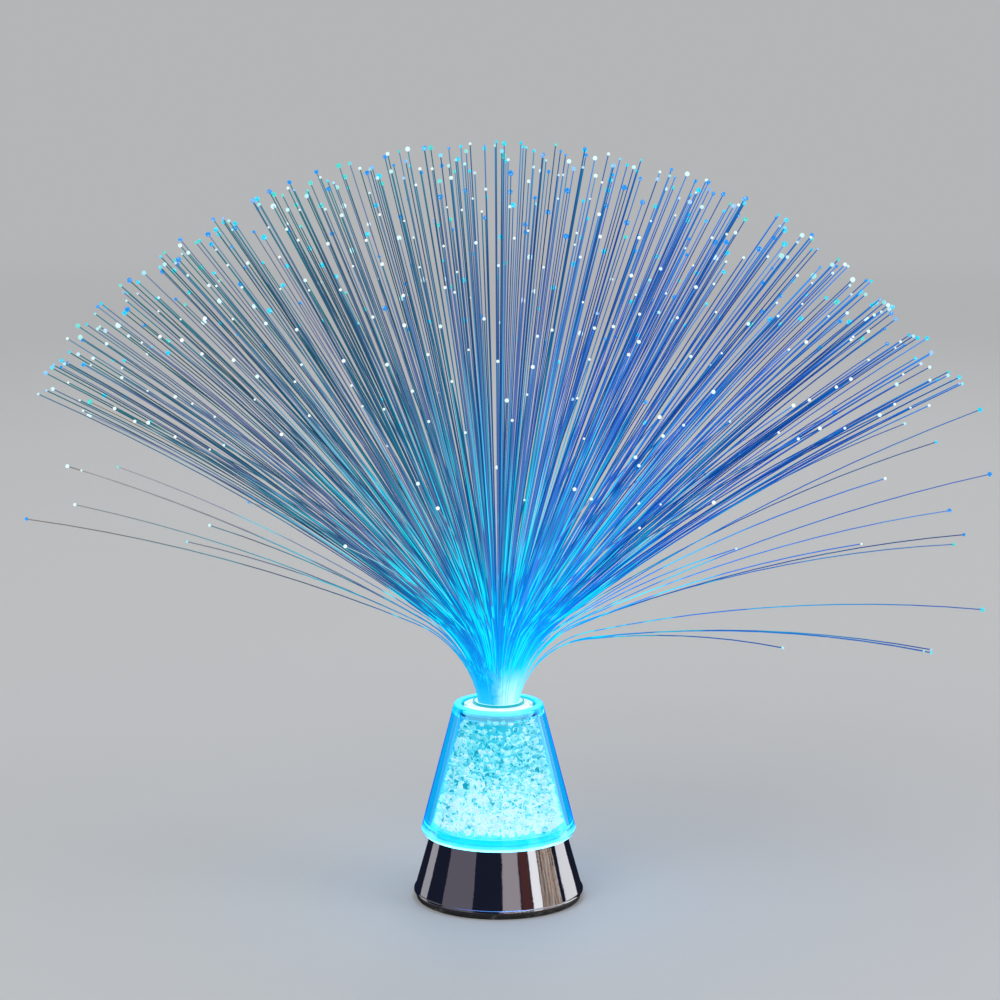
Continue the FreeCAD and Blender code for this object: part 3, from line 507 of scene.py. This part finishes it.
# The plug, neck ring and ferrule: milky plastic lit from inside, each with a darker round seam
mouthFinishes = {
    "milkyPlug": {"glow": (0.72, 0.95, 0.92), "seamAndShade": (0.0, 0.32, 0.40), "roughness": 0.30,
                  "seamInner": 0.0142, "seamOuter": 0.0156, "belowShade": 0.6},
    "neckSleeve": {"glow": (0.80, 0.95, 0.92), "seamAndShade": (0.0, 0.36, 0.45), "roughness": 0.22,
                   "seamInner": 0.0103, "seamOuter": 0.0107, "belowShade": 0.3},
    "ferruleMouth": {"glow": (0.55, 0.95, 0.95), "seamAndShade": (0.0, 0.36, 0.45), "roughness": 0.20,
                     "seamInner": 0.0099, "seamOuter": 0.0106, "belowShade": 0.3},
}
milkyPlastic = {
    "shadeFrom": 0.0005, "shadeTo": 0.0011, "bodyShare": 0.25, "seamAndShadeShare": 0.3,
    "cloudScale": 260.0, "cloudDetail": 3.0, "cloudFrom": 0.3, "cloudTo": 0.7,
    "cloudDimmest": 0.80, "wipeScale": 150.0,
}


def makeMouth(name):
    finish, milk = mouthFinishes[name], milkyPlastic
    material, tree, shader = newMaterial(name, Emission_Strength=1.0)
    place = objectPlace(tree)
    flat = vectorNode(tree, "MULTIPLY", {0: place, 1: (1.0, 1.0, 0.0)})
    radius = vectorNode(tree, "LENGTH", {0: flat}, "Value")
    middle = (finish["seamInner"] + finish["seamOuter"]) / 2
    half = (finish["seamOuter"] - finish["seamInner"]) / 2
    away = mathNode(tree, "ABSOLUTE", mathNode(tree, "SUBTRACT", radius, middle))
    line = mapRange(tree, away, half / 2, half, 1.0, 0.0)
    # Painted shade in the seam colour darkens what lies below the plug's top face, as in the two
    # curved slots
    below = mapRange(
        tree, axisOf(tree, place, "Z"), plugTop - milk["shadeTo"], plugTop - milk["shadeFrom"],
        finish["belowShade"], 0.0)
    mask = mathNode(tree, "MAXIMUM", line, below)
    noise = noiseAt(tree, place, milk["cloudScale"], milk["cloudDetail"])
    cloud = mapRange(tree, noise, milk["cloudFrom"], milk["cloudTo"], milk["cloudDimmest"], 1.0)
    lit = vectorNode(tree, "SCALE", {0: finish["glow"], 3: cloud})
    body = opaque(scaled(finish["glow"], milk["bodyShare"]))
    seamAndShadeBody = opaque(scaled(finish["seamAndShade"], milk["seamAndShadeShare"]))
    setInput(tree, shader, "Base Color", mixColour(tree, mask, body, seamAndShadeBody))
    setInput(tree, shader, "Emission Color", mixColour(tree, mask, lit, opaque(finish["seamAndShade"])))
    setRoughness(tree, shader, finish["roughness"], Scale=milk["wipeScale"])
    return material


# Light fibres: white-hot on the right of the mouth and cyan above it, then blue on the right and
# teal on the left, by the share of the way to the tips
fibreLooks = {
    "domeFibre": {
        "right": (
            (0.0, (0.90, 1.0, 1.0)), (0.045, (0.40, 0.97, 1.0)), (0.085, (0.0, 0.60, 0.98)),
            (0.16, (0.0, 0.28, 0.90)), (0.30, (0.0, 0.17, 0.78)), (0.55, (0.0, 0.09, 0.55)),
            (0.85, (0.0, 0.08, 0.45)), (1.0, (0.0, 0.22, 0.75)),
        ),
        "left": (
            (0.0, (0.04, 0.68, 1.0)), (0.05, (0.0, 0.42, 0.92)), (0.12, (0.0, 0.22, 0.74)),
            (0.26, (0.0, 0.15, 0.44)), (0.50, (0.01, 0.10, 0.22)), (0.85, (0.02, 0.11, 0.18)),
            (1.0, (0.02, 0.30, 0.34)),
        ),
        "dull": (0.11, 0.12, 0.24), "dullShare": 0.80, "dullSide": (-0.55, 0.55),
    },
    "looseFibre": {
        "right": (
            (0.0, (0.40, 1.0, 1.0)), (0.12, (0.0, 0.50, 1.0)), (0.35, (0.0, 0.20, 0.80)),
            (0.70, (0.01, 0.12, 0.50)), (1.0, (0.06, 0.14, 0.42)),
        ),
        "left": (
            (0.0, (0.05, 0.60, 1.0)), (0.12, (0.0, 0.30, 0.75)), (0.35, (0.09, 0.18, 0.34)),
            (0.70, (0.30, 0.29, 0.30)), (1.0, (0.46, 0.42, 0.34)),
        ),
        "dull": (0.16, 0.17, 0.26), "dullShare": 0.5, "dullSide": (-0.9, 0.0),
    },
}
fibreShine = {
    "reach": 0.232, "strength": 1.0, "roughness": 0.16, "wipeScale": 200.0, "body": 0.10,
    "mouthSpread": 110.0, "mouthFrom": 0.01, "mouthTo": 0.07, "driftScale": 6.0, "drift": 0.8,
    "leftSide": -0.35, "rightSide": 0.40, "bendFrom": 0.21, "bendTo": 0.32,
    "dullLeast": 0.25, "dullFrom": 0.35, "dullTo": 0.75, "dimmest": 0.50, "brightest": 1.35,
    "strand": (0.0, 0.80, 1.0), "strandScale": 15.0, "strandMost": 0.92,
    "strandFrom": 0.50, "strandTo": 0.60, "riseFrom": 0.04, "riseTo": 0.09,
    "fadeFrom": 0.12, "fadeTo": 0.80, "fadeLeast": 0.08,
}


def makeFibrePlastic(name):
    look, shine = fibreLooks[name], fibreShine
    material, tree, shader = newMaterial(
        name, IOR=plasticIndex, Emission_Strength=shine["strength"])
    fromNeck = vectorNode(tree, "SUBTRACT", {0: objectPlace(tree), 1: (0.0, 0.0, neckTop)})
    away = vectorNode(tree, "LENGTH", {0: fromNeck}, "Value")
    heading = vectorNode(tree, "NORMALIZE", {0: fromNeck})
    share = mathNode(tree, "DIVIDE", away, shine["reach"], clamp=True)
    # Left and right go by place in the mouth, and by heading past it
    inMouth = product(tree, axisOf(tree, fromNeck, "X"), shine["mouthSpread"])
    drift = driftAt(tree, heading, shine["driftScale"], shine["drift"])
    pastMouth = mathNode(tree, "ADD", axisOf(tree, heading, "X"), drift)
    leaving = mapRange(tree, share, shine["mouthFrom"], shine["mouthTo"])
    change = mathNode(tree, "SUBTRACT", pastMouth, inMouth)
    side = mathNode(tree, "ADD", inMouth, product(tree, leaving, change))
    rightward = mapRange(tree, side, shine["leftSide"], shine["rightSide"])
    left, right = [rampNode(tree, share, look[way]) for way in ("left", "right")]
    hue = mixColour(tree, rightward, left, right)
    # Each fibre has its own shade, past the bends near the neck
    each = addNode(tree, "ShaderNodeNewGeometry").outputs["Random Per Island"]
    spread = mapRange(tree, share, shine["bendFrom"], shine["bendTo"])
    dullFrom, dullTo = look["dullSide"]
    dullHere = mapRange(tree, side, dullTo, dullFrom, shine["dullLeast"], 1.0)
    dullEach = mapRange(tree, each, shine["dullFrom"], shine["dullTo"], 0.0, look["dullShare"])
    dullMask = product(tree, dullEach, dullHere, spread)
    colour = mixColour(tree, dullMask, hue, opaque(look["dull"]))
    # Some clumps carry more light than the rest
    noise = noiseAt(tree, heading, shine["strandScale"])
    strand = mapRange(tree, noise, shine["strandFrom"], shine["strandTo"], 0.0, shine["strandMost"])
    fading = mapRange(tree, share, shine["fadeFrom"], shine["fadeTo"], 1.0, shine["fadeLeast"])
    rising = mapRange(tree, share, shine["riseFrom"], shine["riseTo"])
    strandMask = product(tree, strand, fading, rising)
    colour = mixColour(tree, strandMask, colour, opaque(shine["strand"]))
    ownLevel = mapRange(tree, each, 0.0, 1.0, shine["dimmest"] - 1, shine["brightest"] - 1)
    level = mathNode(tree, "ADD", 1.0, product(tree, spread, ownLevel))
    lit = vectorNode(tree, "SCALE", {0: colour, 3: level})
    setInput(tree, shader, "Base Color", vectorNode(tree, "SCALE", {0: lit, 3: shine["body"]}))
    setInput(tree, shader, "Emission Color", lit)
    setRoughness(tree, shader, shine["roughness"], Scale=shine["wipeScale"])
    return material


# The cut ends of the fibres, where the light leaves them: pale at the front, coloured at the back
tipGlow = {
    "deep": (0.0, 0.28, 0.85), "deepTo": 0.30,
    "cyan": (0.0, 0.66, 0.92), "cyanFrom": 0.42, "cyanTo": 0.68,
    "teal": (0.05, 0.66, 0.60), "tealFrom": 0.76, "tealTo": 0.84,
    "pale": (0.72, 0.97, 1.0), "paleFrom": 0.90, "white": (0.93, 1.0, 1.0),
    "frontAt": -0.10, "backAt": 0.01, "roughness": 0.08, "body": 0.12,
    "speckScale": 1400.0, "speckFrom": 0.5, "speckTo": 0.72, "speckMost": 0.6,
}


def makeTipGlow():
    look = tipGlow
    material, tree, shader = newMaterial(
        "fibreTip", Roughness=look["roughness"], IOR=plasticIndex, Emission_Strength=1.0)
    each = addNode(tree, "ShaderNodeNewGeometry").outputs["Random Per Island"]
    place = objectPlace(tree)
    back = rampNode(tree, each, (
        (0.0, look["deep"]), (look["deepTo"], look["deep"]),
        (look["cyanFrom"], look["cyan"]), (look["cyanTo"], look["cyan"]),
        (look["tealFrom"], look["teal"]), (look["tealTo"], look["teal"]),
        (look["paleFrom"], look["pale"]), (1.0, look["pale"])))
    front = mixColour(tree, each, opaque(look["pale"]), opaque(look["white"]))
    backward = mapRange(tree, axisOf(tree, place, "Y"), look["frontAt"], look["backAt"])
    colour = mixColour(tree, backward, front, back)
    # Specks of paler painted glow on the cut ends
    noise = noiseAt(tree, place, look["speckScale"])
    glowSpeck = mapRange(tree, noise, look["speckFrom"], look["speckTo"], 0.0, look["speckMost"])
    setInput(tree, shader, "Base Color", vectorNode(tree, "SCALE", {0: colour, 3: look["body"]}))
    setInput(tree, shader, "Emission Color", mixColour(tree, glowSpeck, colour, opaque(look["pale"])))
    return material


# Crystal chips in painted glow, white-hot low down over the lamps and turquoise above, with painted
# shade in the gaps and painted glints
crystalPlastic = {
    "gap": (0.0, 0.38, 0.46), "gapTo": 0.10, "deep": (0.06, 0.62, 0.68), "deepAt": 0.26,
    "turquoise": (0.36, 0.90, 0.84), "turquoiseAt": 0.46, "pale": (0.66, 1.0, 0.92),
    "paleAt": 0.70, "white": (1.12, 1.06, 0.98), "whiteFrom": 0.90,
    "roughness": 0.06, "bodyShare": 0.15, "ownShare": 0.46,
    "lightSide": (0.35, -0.25, 0.90), "facetShaded": 0.02, "facetLit": 0.30,
    "hotLow": 0.034, "hotHigh": 0.066, "hotMost": 0.40, "wanderScale": 70.0, "wander": 0.030,
    "backAt": 0.02, "frontAt": -0.02, "backShare": 0.7,
    "fleckScale": 520.0, "fleckDetail": 3.0, "fleckFrom": 0.38, "fleckTo": 0.47,
    "fleckShadeLeast": -0.45, "fleckMost": 0.06,
    "glintScale": 330.0, "glintFrom": 0.58, "glintTo": 0.66, "glintMost": 0.40,
}


def makeCrystalPlastic():
    look = crystalPlastic
    material, tree, shader = newMaterial(
        "crystalChip", Roughness=look["roughness"], IOR=plasticIndex, Emission_Strength=1.0)
    geometry = addNode(tree, "ShaderNodeNewGeometry")
    place = objectPlace(tree)
    # Painted shading: facets turned towards a fixed light side are painted lighter
    facetLight = vectorNode(tree, "DOT_PRODUCT", {
        0: geometry.outputs["True Normal"], 1: look["lightSide"],
    }, "Value")
    wander = driftAt(tree, place, look["wanderScale"], look["wander"])
    height = mathNode(tree, "ADD", axisOf(tree, place, "Z"), wander)
    hot = mapRange(tree, height, look["hotLow"], look["hotHigh"], look["hotMost"], 0.0)
    front = mapRange(
        tree, axisOf(tree, place, "Y"), look["backAt"], look["frontAt"], look["backShare"], 1.0)
    # Painted shade: fine noise flecks darken the glow towards the gap colour, with a faint lift at
    # their other end
    gapShadeFlecks = noiseAt(tree, place, look["fleckScale"], look["fleckDetail"])
    glints = noiseAt(tree, place, look["glintScale"])
    value = product(tree, geometry.outputs["Random Per Island"], look["ownShare"])
    for part in (
        mapRange(tree, facetLight, -1.0, 1.0, look["facetShaded"], look["facetLit"]),
        product(tree, hot, front),
        mapRange(
            tree, gapShadeFlecks, look["fleckFrom"], look["fleckTo"], look["fleckShadeLeast"],
            look["fleckMost"]),
        mapRange(tree, glints, look["glintFrom"], look["glintTo"], 0.0, look["glintMost"]),
    ):
        value = mathNode(tree, "ADD", value, part)
    colour = rampNode(tree, value, (
        (0.0, look["gap"]), (look["gapTo"], look["gap"]), (look["deepAt"], look["deep"]),
        (look["turquoiseAt"], look["turquoise"]), (look["paleAt"], look["pale"]),
        (look["whiteFrom"], look["white"]), (1.0, look["white"])))
    setInput(tree, shader, "Base Color", opaque(scaled(look["deep"], look["bodyShare"])))
    setInput(tree, shader, "Emission Color", colour)
    return material


# The bundle's core, lit from its lower end
polishedCore = {
    "low": (0.3, 0.9, 1.0), "high": (0.85, 1.0, 1.0), "roughness": 0.12, "drift": 0.2,
}


def makeCore():
    look = polishedCore
    low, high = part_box("bundle_core")
    material, tree, shader = newMaterial(
        "polishedCore", Roughness=look["roughness"], Emission_Strength=1.0)
    glow = glowBetween(tree, low.z, high.z, look["low"], look["high"], look["drift"])
    setInput(tree, shader, "Base Color", glow)
    setInput(tree, shader, "Emission Color", glow)
    return material


plain = {name: makePlain(name) for name in plainFinishes}
metal = {name: makeMetal(name) for name in metalFinishes}
clear = {name: makeClear(name) for name in clearFinishes}
mouth = {name: makeMouth(name) for name in mouthFinishes}
fibrePlastic = {name: makeFibrePlastic(name) for name in fibreLooks}
tipLook = makeTipGlow()
crystalLook = makeCrystalPlastic()

finishOf = {
    "foot_ring": plain["footRubber"], "bottom_plate": plain["blackPlastic"],
    "battery_door": plain["doorPlastic"], "switch_body": plain["switchPlastic"],
    "switch_slider": plain["sliderPlastic"], "resistors": plain["resistorBody"],
    "control_chip": plain["chipBody"], "lead_connector": plain["connectorPlastic"],
    "lead_positive": plain["leadRed"], "lead_switched": plain["leadRed"],
    "lead_negative": plain["leadBlack"], "base_screws": metal["screwSteel"],
    "board_screws": metal["screwSteel"], "cone_screws": metal["screwSteel"],
    "contact_plates": metal["contactNickel"], "switch_terminals": metal["contactNickel"],
    "battery_spring_1": metal["contactNickel"], "battery_spring_2": metal["contactNickel"],
    "battery_spring_3": metal["contactNickel"],
    "battery_cell_1": makeCellSleeve("battery_cell_1", 1),
    "battery_cell_2": makeCellSleeve("battery_cell_2", -1),
    "battery_cell_3": makeCellSleeve("battery_cell_3", 1),
    "base_shell": makeChrome(), "light_board": makeLaminate(), "centre_led": clear["ledLens"],
    "side_leds": makeLedPackage(), "cone_shell": makeClearCone(),
    "cone_floor": clear["clearFloor"], "light_tube": clear["clearTube"],
    "neck_plug": mouth["milkyPlug"], "neck_ring": mouth["neckSleeve"],
    "ferrule": mouth["ferruleMouth"], "bundle_core": makeCore(),
    "fibre_strays": fibrePlastic["looseFibre"],
}
fibreNodes = sorted(name for name in cadNodes if name.startswith("fibre_"))
for nodeName in fibreNodes:
    finishOf.setdefault(nodeName, fibrePlastic["domeFibre"])
for nodeName, finish in finishOf.items():
    paint(nodeName, finish)
print("finishes on", len(finishOf), "nodes")


# Helpers for meshes of many small copies

def takeShape(form):
    form.verts.index_update()
    points = np.array([vertex.co for vertex in form.verts])
    faces = [[vertex.index for vertex in face.verts] for face in form.faces]
    form.free()
    return points, faces


def addCopy(vertices, faces, points, shapeFaces):
    offset = len(vertices)
    vertices.extend(points.tolist())
    faces.extend([[index + offset for index in face] for face in shapeFaces])


def joinedMesh(name, vertices, faces, material):
    mesh = bpy.data.meshes.new(name)
    mesh.from_pydata(vertices, [], faces)
    mesh.update()
    mesh.materials.append(material)
    piece = bpy.data.objects.new(name, mesh)
    scene.collection.objects.link(piece)
    return piece


# Tip beads: the cut ends of the fibres, melted round

tipBead = {
    "smallest": 0.00070, "largest": 0.00135, "sizePower": 1.3, "frontShare": 0.55,
    "frontToBack": 0.16, "capSize": 0.0012, "leastReach": 0.06, "divisions": 2, "seed": 4,
}


def islandLabels(mesh):
    # Joined vertices end up with the same label, the lowest of theirs
    ends = np.zeros(len(mesh.edges) * 2, np.int32)
    mesh.edges.foreach_get("vertices", ends)
    first, second = ends.reshape(-1, 2).T
    labels = np.arange(len(mesh.vertices))
    while True:
        before = labels.copy()
        lowest = np.minimum(labels[first], labels[second])
        np.minimum.at(labels, first, lowest)
        np.minimum.at(labels, second, lowest)
        labels = labels[labels]
        if (labels == before).all():
            return labels


def fibreTips(nodeName):
    # The flat end faces are small islands of their own; the far ones are the tips
    mesh = cadNodes[nodeName].data
    points = np.zeros(len(mesh.vertices) * 3, np.float32)
    mesh.vertices.foreach_get("co", points)
    points = points.reshape(-1, 3)
    labels = islandLabels(mesh)
    order = np.argsort(labels, kind="stable")
    starts = np.flatnonzero(np.r_[True, np.diff(labels[order]) > 0])
    neck = np.array((0.0, 0.0, neckTop))
    tips = []
    for island in np.split(points[order], starts[1:]):
        size = np.linalg.norm(island.max(0) - island.min(0))
        centre = (island.max(0) + island.min(0)) / 2
        if size < tipBead["capSize"] and np.linalg.norm(centre - neck) > tipBead["leastReach"]:
            tips.append(centre)
    return tips


def makeTipBeads(name, sources):
    look = tipBead
    draw = random.Random(look["seed"])
    ball = bmesh.new()
    bmesh.ops.create_icosphere(ball, subdivisions=look["divisions"], radius=1.0)
    points, ballFaces = takeShape(ball)
    vertices, faces = [], []
    for nodeName in sources:
        for tip in fibreTips(nodeName):
            # The ends at the front are cut clean, and those at the back are melted wider
            backward = max(0.0, min(1.0, 0.5 + tip[1] / look["frontToBack"]))
            growth = (look["largest"] - look["smallest"]) * draw.random() ** look["sizePower"]
            size = look["smallest"] + growth
            size *= look["frontShare"] + (1 - look["frontShare"]) * backward
            addCopy(vertices, faces, points * size + tip, ballFaces)
    beads = joinedMesh(name, vertices, faces, tipLook)
    beads.data.shade_smooth()
    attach(beads, "fibre_bundle")
    return len(faces) // len(ballFaces)


beadCount = makeTipBeads("tip_beads", [name for name in fibreNodes if name != "fibre_strays"])
strayCount = makeTipBeads("stray_tip_beads", ["fibre_strays"])
print("tip beads:", beadCount, "and", strayCount)


# Crystal chips: more and smaller ones than the solids, in the same rooms and up to the cone's wall

crystalChip = {
    "pitch": 0.0029, "fill": 0.68, "shapes": 20, "corners": 11, "shortestCorner": 0.8,
    "smallest": 0.5, "sizePower": 0.6, "jitter": 0.16, "wallGap": 0.0001, "wallReach": 0.88,
    "tubeReach": 0.7, "endReach": 0.8, "skirtReach": 0.0143, "collarRise": 0.0033, "seed": 21,
}


def chipShape(draw):
    chip = bmesh.new()
    for corner in range(crystalChip["corners"]):
        direction = Vector([draw.gauss(0, 1) for axis in range(3)]).normalized()
        chip.verts.new(direction * draw.uniform(crystalChip["shortestCorner"], 1.0))
    hull = bmesh.ops.convex_hull(chip, input=chip.verts[:])
    inside = [item for item in hull["geom_interior"] if item.is_valid]
    bmesh.ops.delete(chip, geom=inside, context="VERTS")
    return takeShape(chip)


def randomTurn(draw):
    w, x, y, z = [draw.gauss(0, 1) for axis in range(4)]
    size = math.sqrt(w * w + x * x + y * y + z * z)
    w, x, y, z = w / size, x / size, y / size, z / size
    return np.array([
        [1 - 2 * (y * y + z * z), 2 * (x * y - z * w), 2 * (x * z + y * w)],
        [2 * (x * y + z * w), 1 - 2 * (x * x + z * z), 2 * (y * z - x * w)],
        [2 * (x * z - y * w), 2 * (y * z + x * w), 1 - 2 * (x * x + y * y)],
    ])


def makeCrystalHeap():
    look = crystalChip
    draw = random.Random(look["seed"])
    shapes = [chipShape(draw) for index in range(look["shapes"])]
    layers = sorted(name for name in cadNodes if name.startswith("crystal_layer"))
    boxes = [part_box(name) for name in layers]
    reaches = [max(high.x, high.y, -low.x, -low.y) for low, high in boxes]
    slope = (reaches[0] - reaches[-1]) / (boxes[-1][1].z - boxes[0][1].z)
    bottom, top = boxes[0][0].z, boxes[-1][1].z
    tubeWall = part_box("light_tube")[1].x + look["wallGap"]
    rows = round((top - bottom) / look["pitch"])
    tall = (top - bottom) / rows
    bands = [(bottom + row * tall, bottom + (row + 1) * tall, tubeWall) for row in range(rows)]
    # A last ring of chips stands round the plug's skirt
    ceiling = top + look["collarRise"]
    bands.append((top, ceiling, look["skirtReach"]))
    vertices, faces = [], []
    count = 0
    for low, high, inner in bands:
        middle = (low + high) / 2
        outer = reaches[0] + slope * (boxes[0][1].z - high) - look["wallGap"]
        rings = max(1, round((outer - inner) / look["pitch"]))
        for ring in range(rings):
            radius = inner + (ring + 0.5) * (outer - inner) / rings
            steps = int(2 * math.pi * radius / look["pitch"])
            turn = draw.random() * 2 * math.pi
            for step in range(steps):
                angle = turn + 2 * math.pi * step / steps
                share = draw.uniform(look["smallest"], 1.0) ** look["sizePower"]
                size = look["pitch"] * look["fill"] * share
                outward, upward = [
                    draw.uniform(-1, 1) * look["jitter"] * look["pitch"] for axis in range(2)]
                reach = max(inner + size * look["tubeReach"], min(radius + outward, outer - size))
                if ring == rings - 1:
                    reach = outer - size * look["wallReach"]
                spare = size * look["endReach"]
                height = min(max(middle + upward, bottom + spare), ceiling - spare)
                centre = np.array([reach * math.cos(angle), reach * math.sin(angle), height])
                points, chipFaces = shapes[draw.randrange(len(shapes))]
                addCopy(vertices, faces, points @ randomTurn(draw).T * size + centre, chipFaces)
                count += 1
    heap = joinedMesh("crystal_heap", vertices, faces, crystalLook)
    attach(heap, "lamp_base")
    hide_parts(*layers)
    return count


print("crystal chips:", makeCrystalHeap())


# Studio: a pale floor, soft lights and a world whose reflections hold the strip lights

studio = {
    "floorRadius": 8.0, "floorSegments": 96, "floorColour": (0.72, 0.735, 0.75),
    "floorRoughness": 0.75, "floorScale": 3.0, "floorDetail": 4.0, "floorDarker": 0.97,
    "skyColour": (0.455, 0.465, 0.475), "fadeFrom": 0.9, "fadeTo": 3.6, "fill": 0.55,
    "aim": (0.0, 0.0, 0.12),
}
studioLights = {
    "keyLight": {"place": (-0.9, -1.3, 1.7), "size": 1.2, "power": 9.0},
    "sideLight": {"place": (1.4, -0.6, 1.1), "size": 0.9, "power": 4.0},
    "backLight": {"place": (0.2, 1.6, 1.4), "size": 0.9, "power": 4.0},
}

# Strip lights and screens round the lamp that its chrome shows: degrees from the front, and colour
stripDark = (0.010, 0.012, 0.026)
stripLights = {
    "farLeft": {"start": -134, "end": -115, "colour": (0.36, 0.35, 0.38)},
    "leftScreen": {"start": -83, "end": -37, "colour": (0.12, 0.11, 0.14)},
    "rightScreen": {"start": 5, "end": 30, "colour": (0.33, 0.29, 0.31)},
    "redScreen": {"start": 31, "end": 46, "colour": (0.075, 0.026, 0.026)},
    "rightStrip": {"start": 49, "end": 62, "colour": (0.95, 0.95, 0.97)},
    "farRight": {"start": 104, "end": 134, "colour": (0.80, 0.79, 0.82)},
}
# Small things that catch the light between the two strips on the right
stripClutter = {
    "start": 63, "end": 96, "scale": 21.0, "detail": 3.0,
    "gold": (0.42, 0.22, 0.08), "goldFrom": 0.44, "pale": (0.70, 0.68, 0.68), "paleFrom": 0.49,
    "brown": (0.16, 0.07, 0.035), "brownFrom": 0.55, "brownTo": 0.60,
}
# The base's straight sides draw reflections out upward, so the patterns are squeezed that way
stripShape = {"squeeze": (1.0, 1.0, 3.0), "wobbleScale": 9.0, "wobbleDetail": 5.0, "wobble": 0.022}


def makeFloor():
    material, tree, shader = newMaterial("studioFloor", Roughness=studio["floorRoughness"])
    place = objectPlace(tree)
    paler = opaque(studio["floorColour"])
    darker = opaque(scaled(studio["floorColour"], studio["floorDarker"]))
    noise = noiseAt(tree, place, studio["floorScale"], studio["floorDetail"])
    setInput(tree, shader, "Base Color", mixColour(tree, noise, darker, paler))
    # Far off, the floor takes the backdrop's colour; from below and in mirror images it is left out
    away = vectorNode(tree, "LENGTH", {0: place}, "Value")
    fade = mapRange(tree, away, studio["fadeFrom"], studio["fadeTo"])
    backdrop = addNode(tree, "ShaderNodeEmission", {"Color": opaque(studio["skyColour"])})
    seen = mixShader(tree, fade, shader.outputs["BSDF"], backdrop.outputs["Emission"])
    behind = addNode(tree, "ShaderNodeNewGeometry").outputs["Backfacing"]
    mirrored = addNode(tree, "ShaderNodeLightPath").outputs["Is Glossy Ray"]
    nothing = addNode(tree, "ShaderNodeBsdfTransparent").outputs["BSDF"]
    surface = mixShader(tree, mathNode(tree, "MAXIMUM", behind, mirrored), seen, nothing)
    tree.links.new(surface, tree.nodes["Material Output"].inputs["Surface"])
    disc = bmesh.new()
    bmesh.ops.create_circle(
        disc, cap_ends=True, radius=studio["floorRadius"], segments=studio["floorSegments"])
    mesh = bpy.data.meshes.new("studio_floor")
    disc.to_mesh(mesh)
    disc.free()
    mesh.materials.append(material)
    floor = bpy.data.objects.new("studio_floor", mesh)
    # The world's own fill reaches the underside, which the floor would keep dark
    floor.visible_diffuse = False
    scene.collection.objects.link(floor)


def makeLight(name):
    given = studioLights[name]
    data = bpy.data.lights.new(name, "AREA")
    data.shape = "SQUARE"
    data.size = given["size"]
    data.energy = given["power"]
    light = bpy.data.objects.new(name, data)
    light.location = given["place"]
    towards = Vector(studio["aim"]) - Vector(given["place"])
    light.rotation_mode = "QUATERNION"
    light.rotation_quaternion = towards.to_track_quat("-Z", "Y")
    light.visible_glossy = False
    scene.collection.objects.link(light)


def turnShare(degrees):
    return (degrees + 180) / 360


def stripsRound(tree, heading):
    forward = product(tree, axisOf(tree, heading, "Y"), -1.0)
    compass = mathNode(tree, "ARCTAN2", axisOf(tree, heading, "X"), forward)
    share = mathNode(tree, "ADD", mathNode(tree, "DIVIDE", compass, 2 * math.pi), 0.5)
    squeezed = vectorNode(tree, "MULTIPLY", {0: heading, 1: stripShape["squeeze"]})
    wobble = driftAt(
        tree, squeezed, stripShape["wobbleScale"], stripShape["wobble"],
        stripShape["wobbleDetail"])
    shaken = mathNode(tree, "ADD", share, wobble)
    stops = [(0.0, stripDark)]
    for strip in stripLights.values():
        stops.append((turnShare(strip["start"]), strip["colour"]))
        stops.append((turnShare(strip["end"]), stripDark))
    strips = rampNode(tree, shaken, stops, "CONSTANT")
    given = stripClutter
    noise = noiseAt(tree, squeezed, given["scale"], given["detail"])
    clutter = rampNode(tree, noise, (
        (0.0, stripDark), (given["goldFrom"], given["gold"]), (given["paleFrom"], given["pale"]),
        (given["brownFrom"], given["brown"]), (given["brownTo"], stripDark)), "CONSTANT")
    pastStart = mathNode(tree, "GREATER_THAN", shaken, turnShare(given["start"]))
    beforeEnd = mathNode(tree, "LESS_THAN", shaken, turnShare(given["end"]))
    return mixColour(tree, product(tree, pastStart, beforeEnd), strips, clutter)


def makeWorld():
    world = bpy.data.worlds.new("studio")
    scene.world = world
    world.use_nodes = True
    tree = world.node_tree
    tree.nodes.clear()
    strips = stripsRound(tree, addNode(tree, "ShaderNodeTexCoord").outputs["Generated"])
    path = addNode(tree, "ShaderNodeLightPath")
    sky, fill = opaque(studio["skyColour"]), opaque((studio["fill"],) * 3)
    colour = mixColour(tree, path.outputs["Is Camera Ray"], fill, sky)
    colour = mixColour(tree, path.outputs["Is Transmission Ray"], colour, sky)
    colour = mixColour(tree, path.outputs["Is Glossy Ray"], colour, strips)
    background = addNode(tree, "ShaderNodeBackground", {"Color": colour, "Strength": 1.0})
    output = tree.nodes.new("ShaderNodeOutputWorld")
    tree.links.new(background.outputs["Background"], output.inputs["Surface"])


makeFloor()
makeWorld()
for lightName in studioLights:
    makeLight(lightName)

# The photograph's view: about 17.4 degrees down at the base, with the whole lamp in its middle
cameraView = {
    "distance": 1.2, "elevation": 17.38, "tilt": 9.70, "baseHeight": 0.0032, "sideStep": 0.0006,
    "lens": 103.3, "sensor": 36.0, "nearest": 0.05, "farthest": 50.0,
}


def makeCamera():
    look = cameraView
    data = bpy.data.cameras.new("photoCamera")
    data.sensor_width = look["sensor"]
    data.lens = look["lens"]
    data.clip_start, data.clip_end = look["nearest"], look["farthest"]
    camera = bpy.data.objects.new("photoCamera", data)
    rise = math.radians(look["elevation"])
    camera.location = (
        look["sideStep"], -look["distance"] * math.cos(rise),
        look["baseHeight"] + look["distance"] * math.sin(rise))
    camera.rotation_euler = (math.radians(90 - look["tilt"]), 0.0, 0.0)
    scene.collection.objects.link(camera)
    scene.camera = camera


makeCamera()
scene.view_settings.view_transform = "Standard"
print("studio ready")
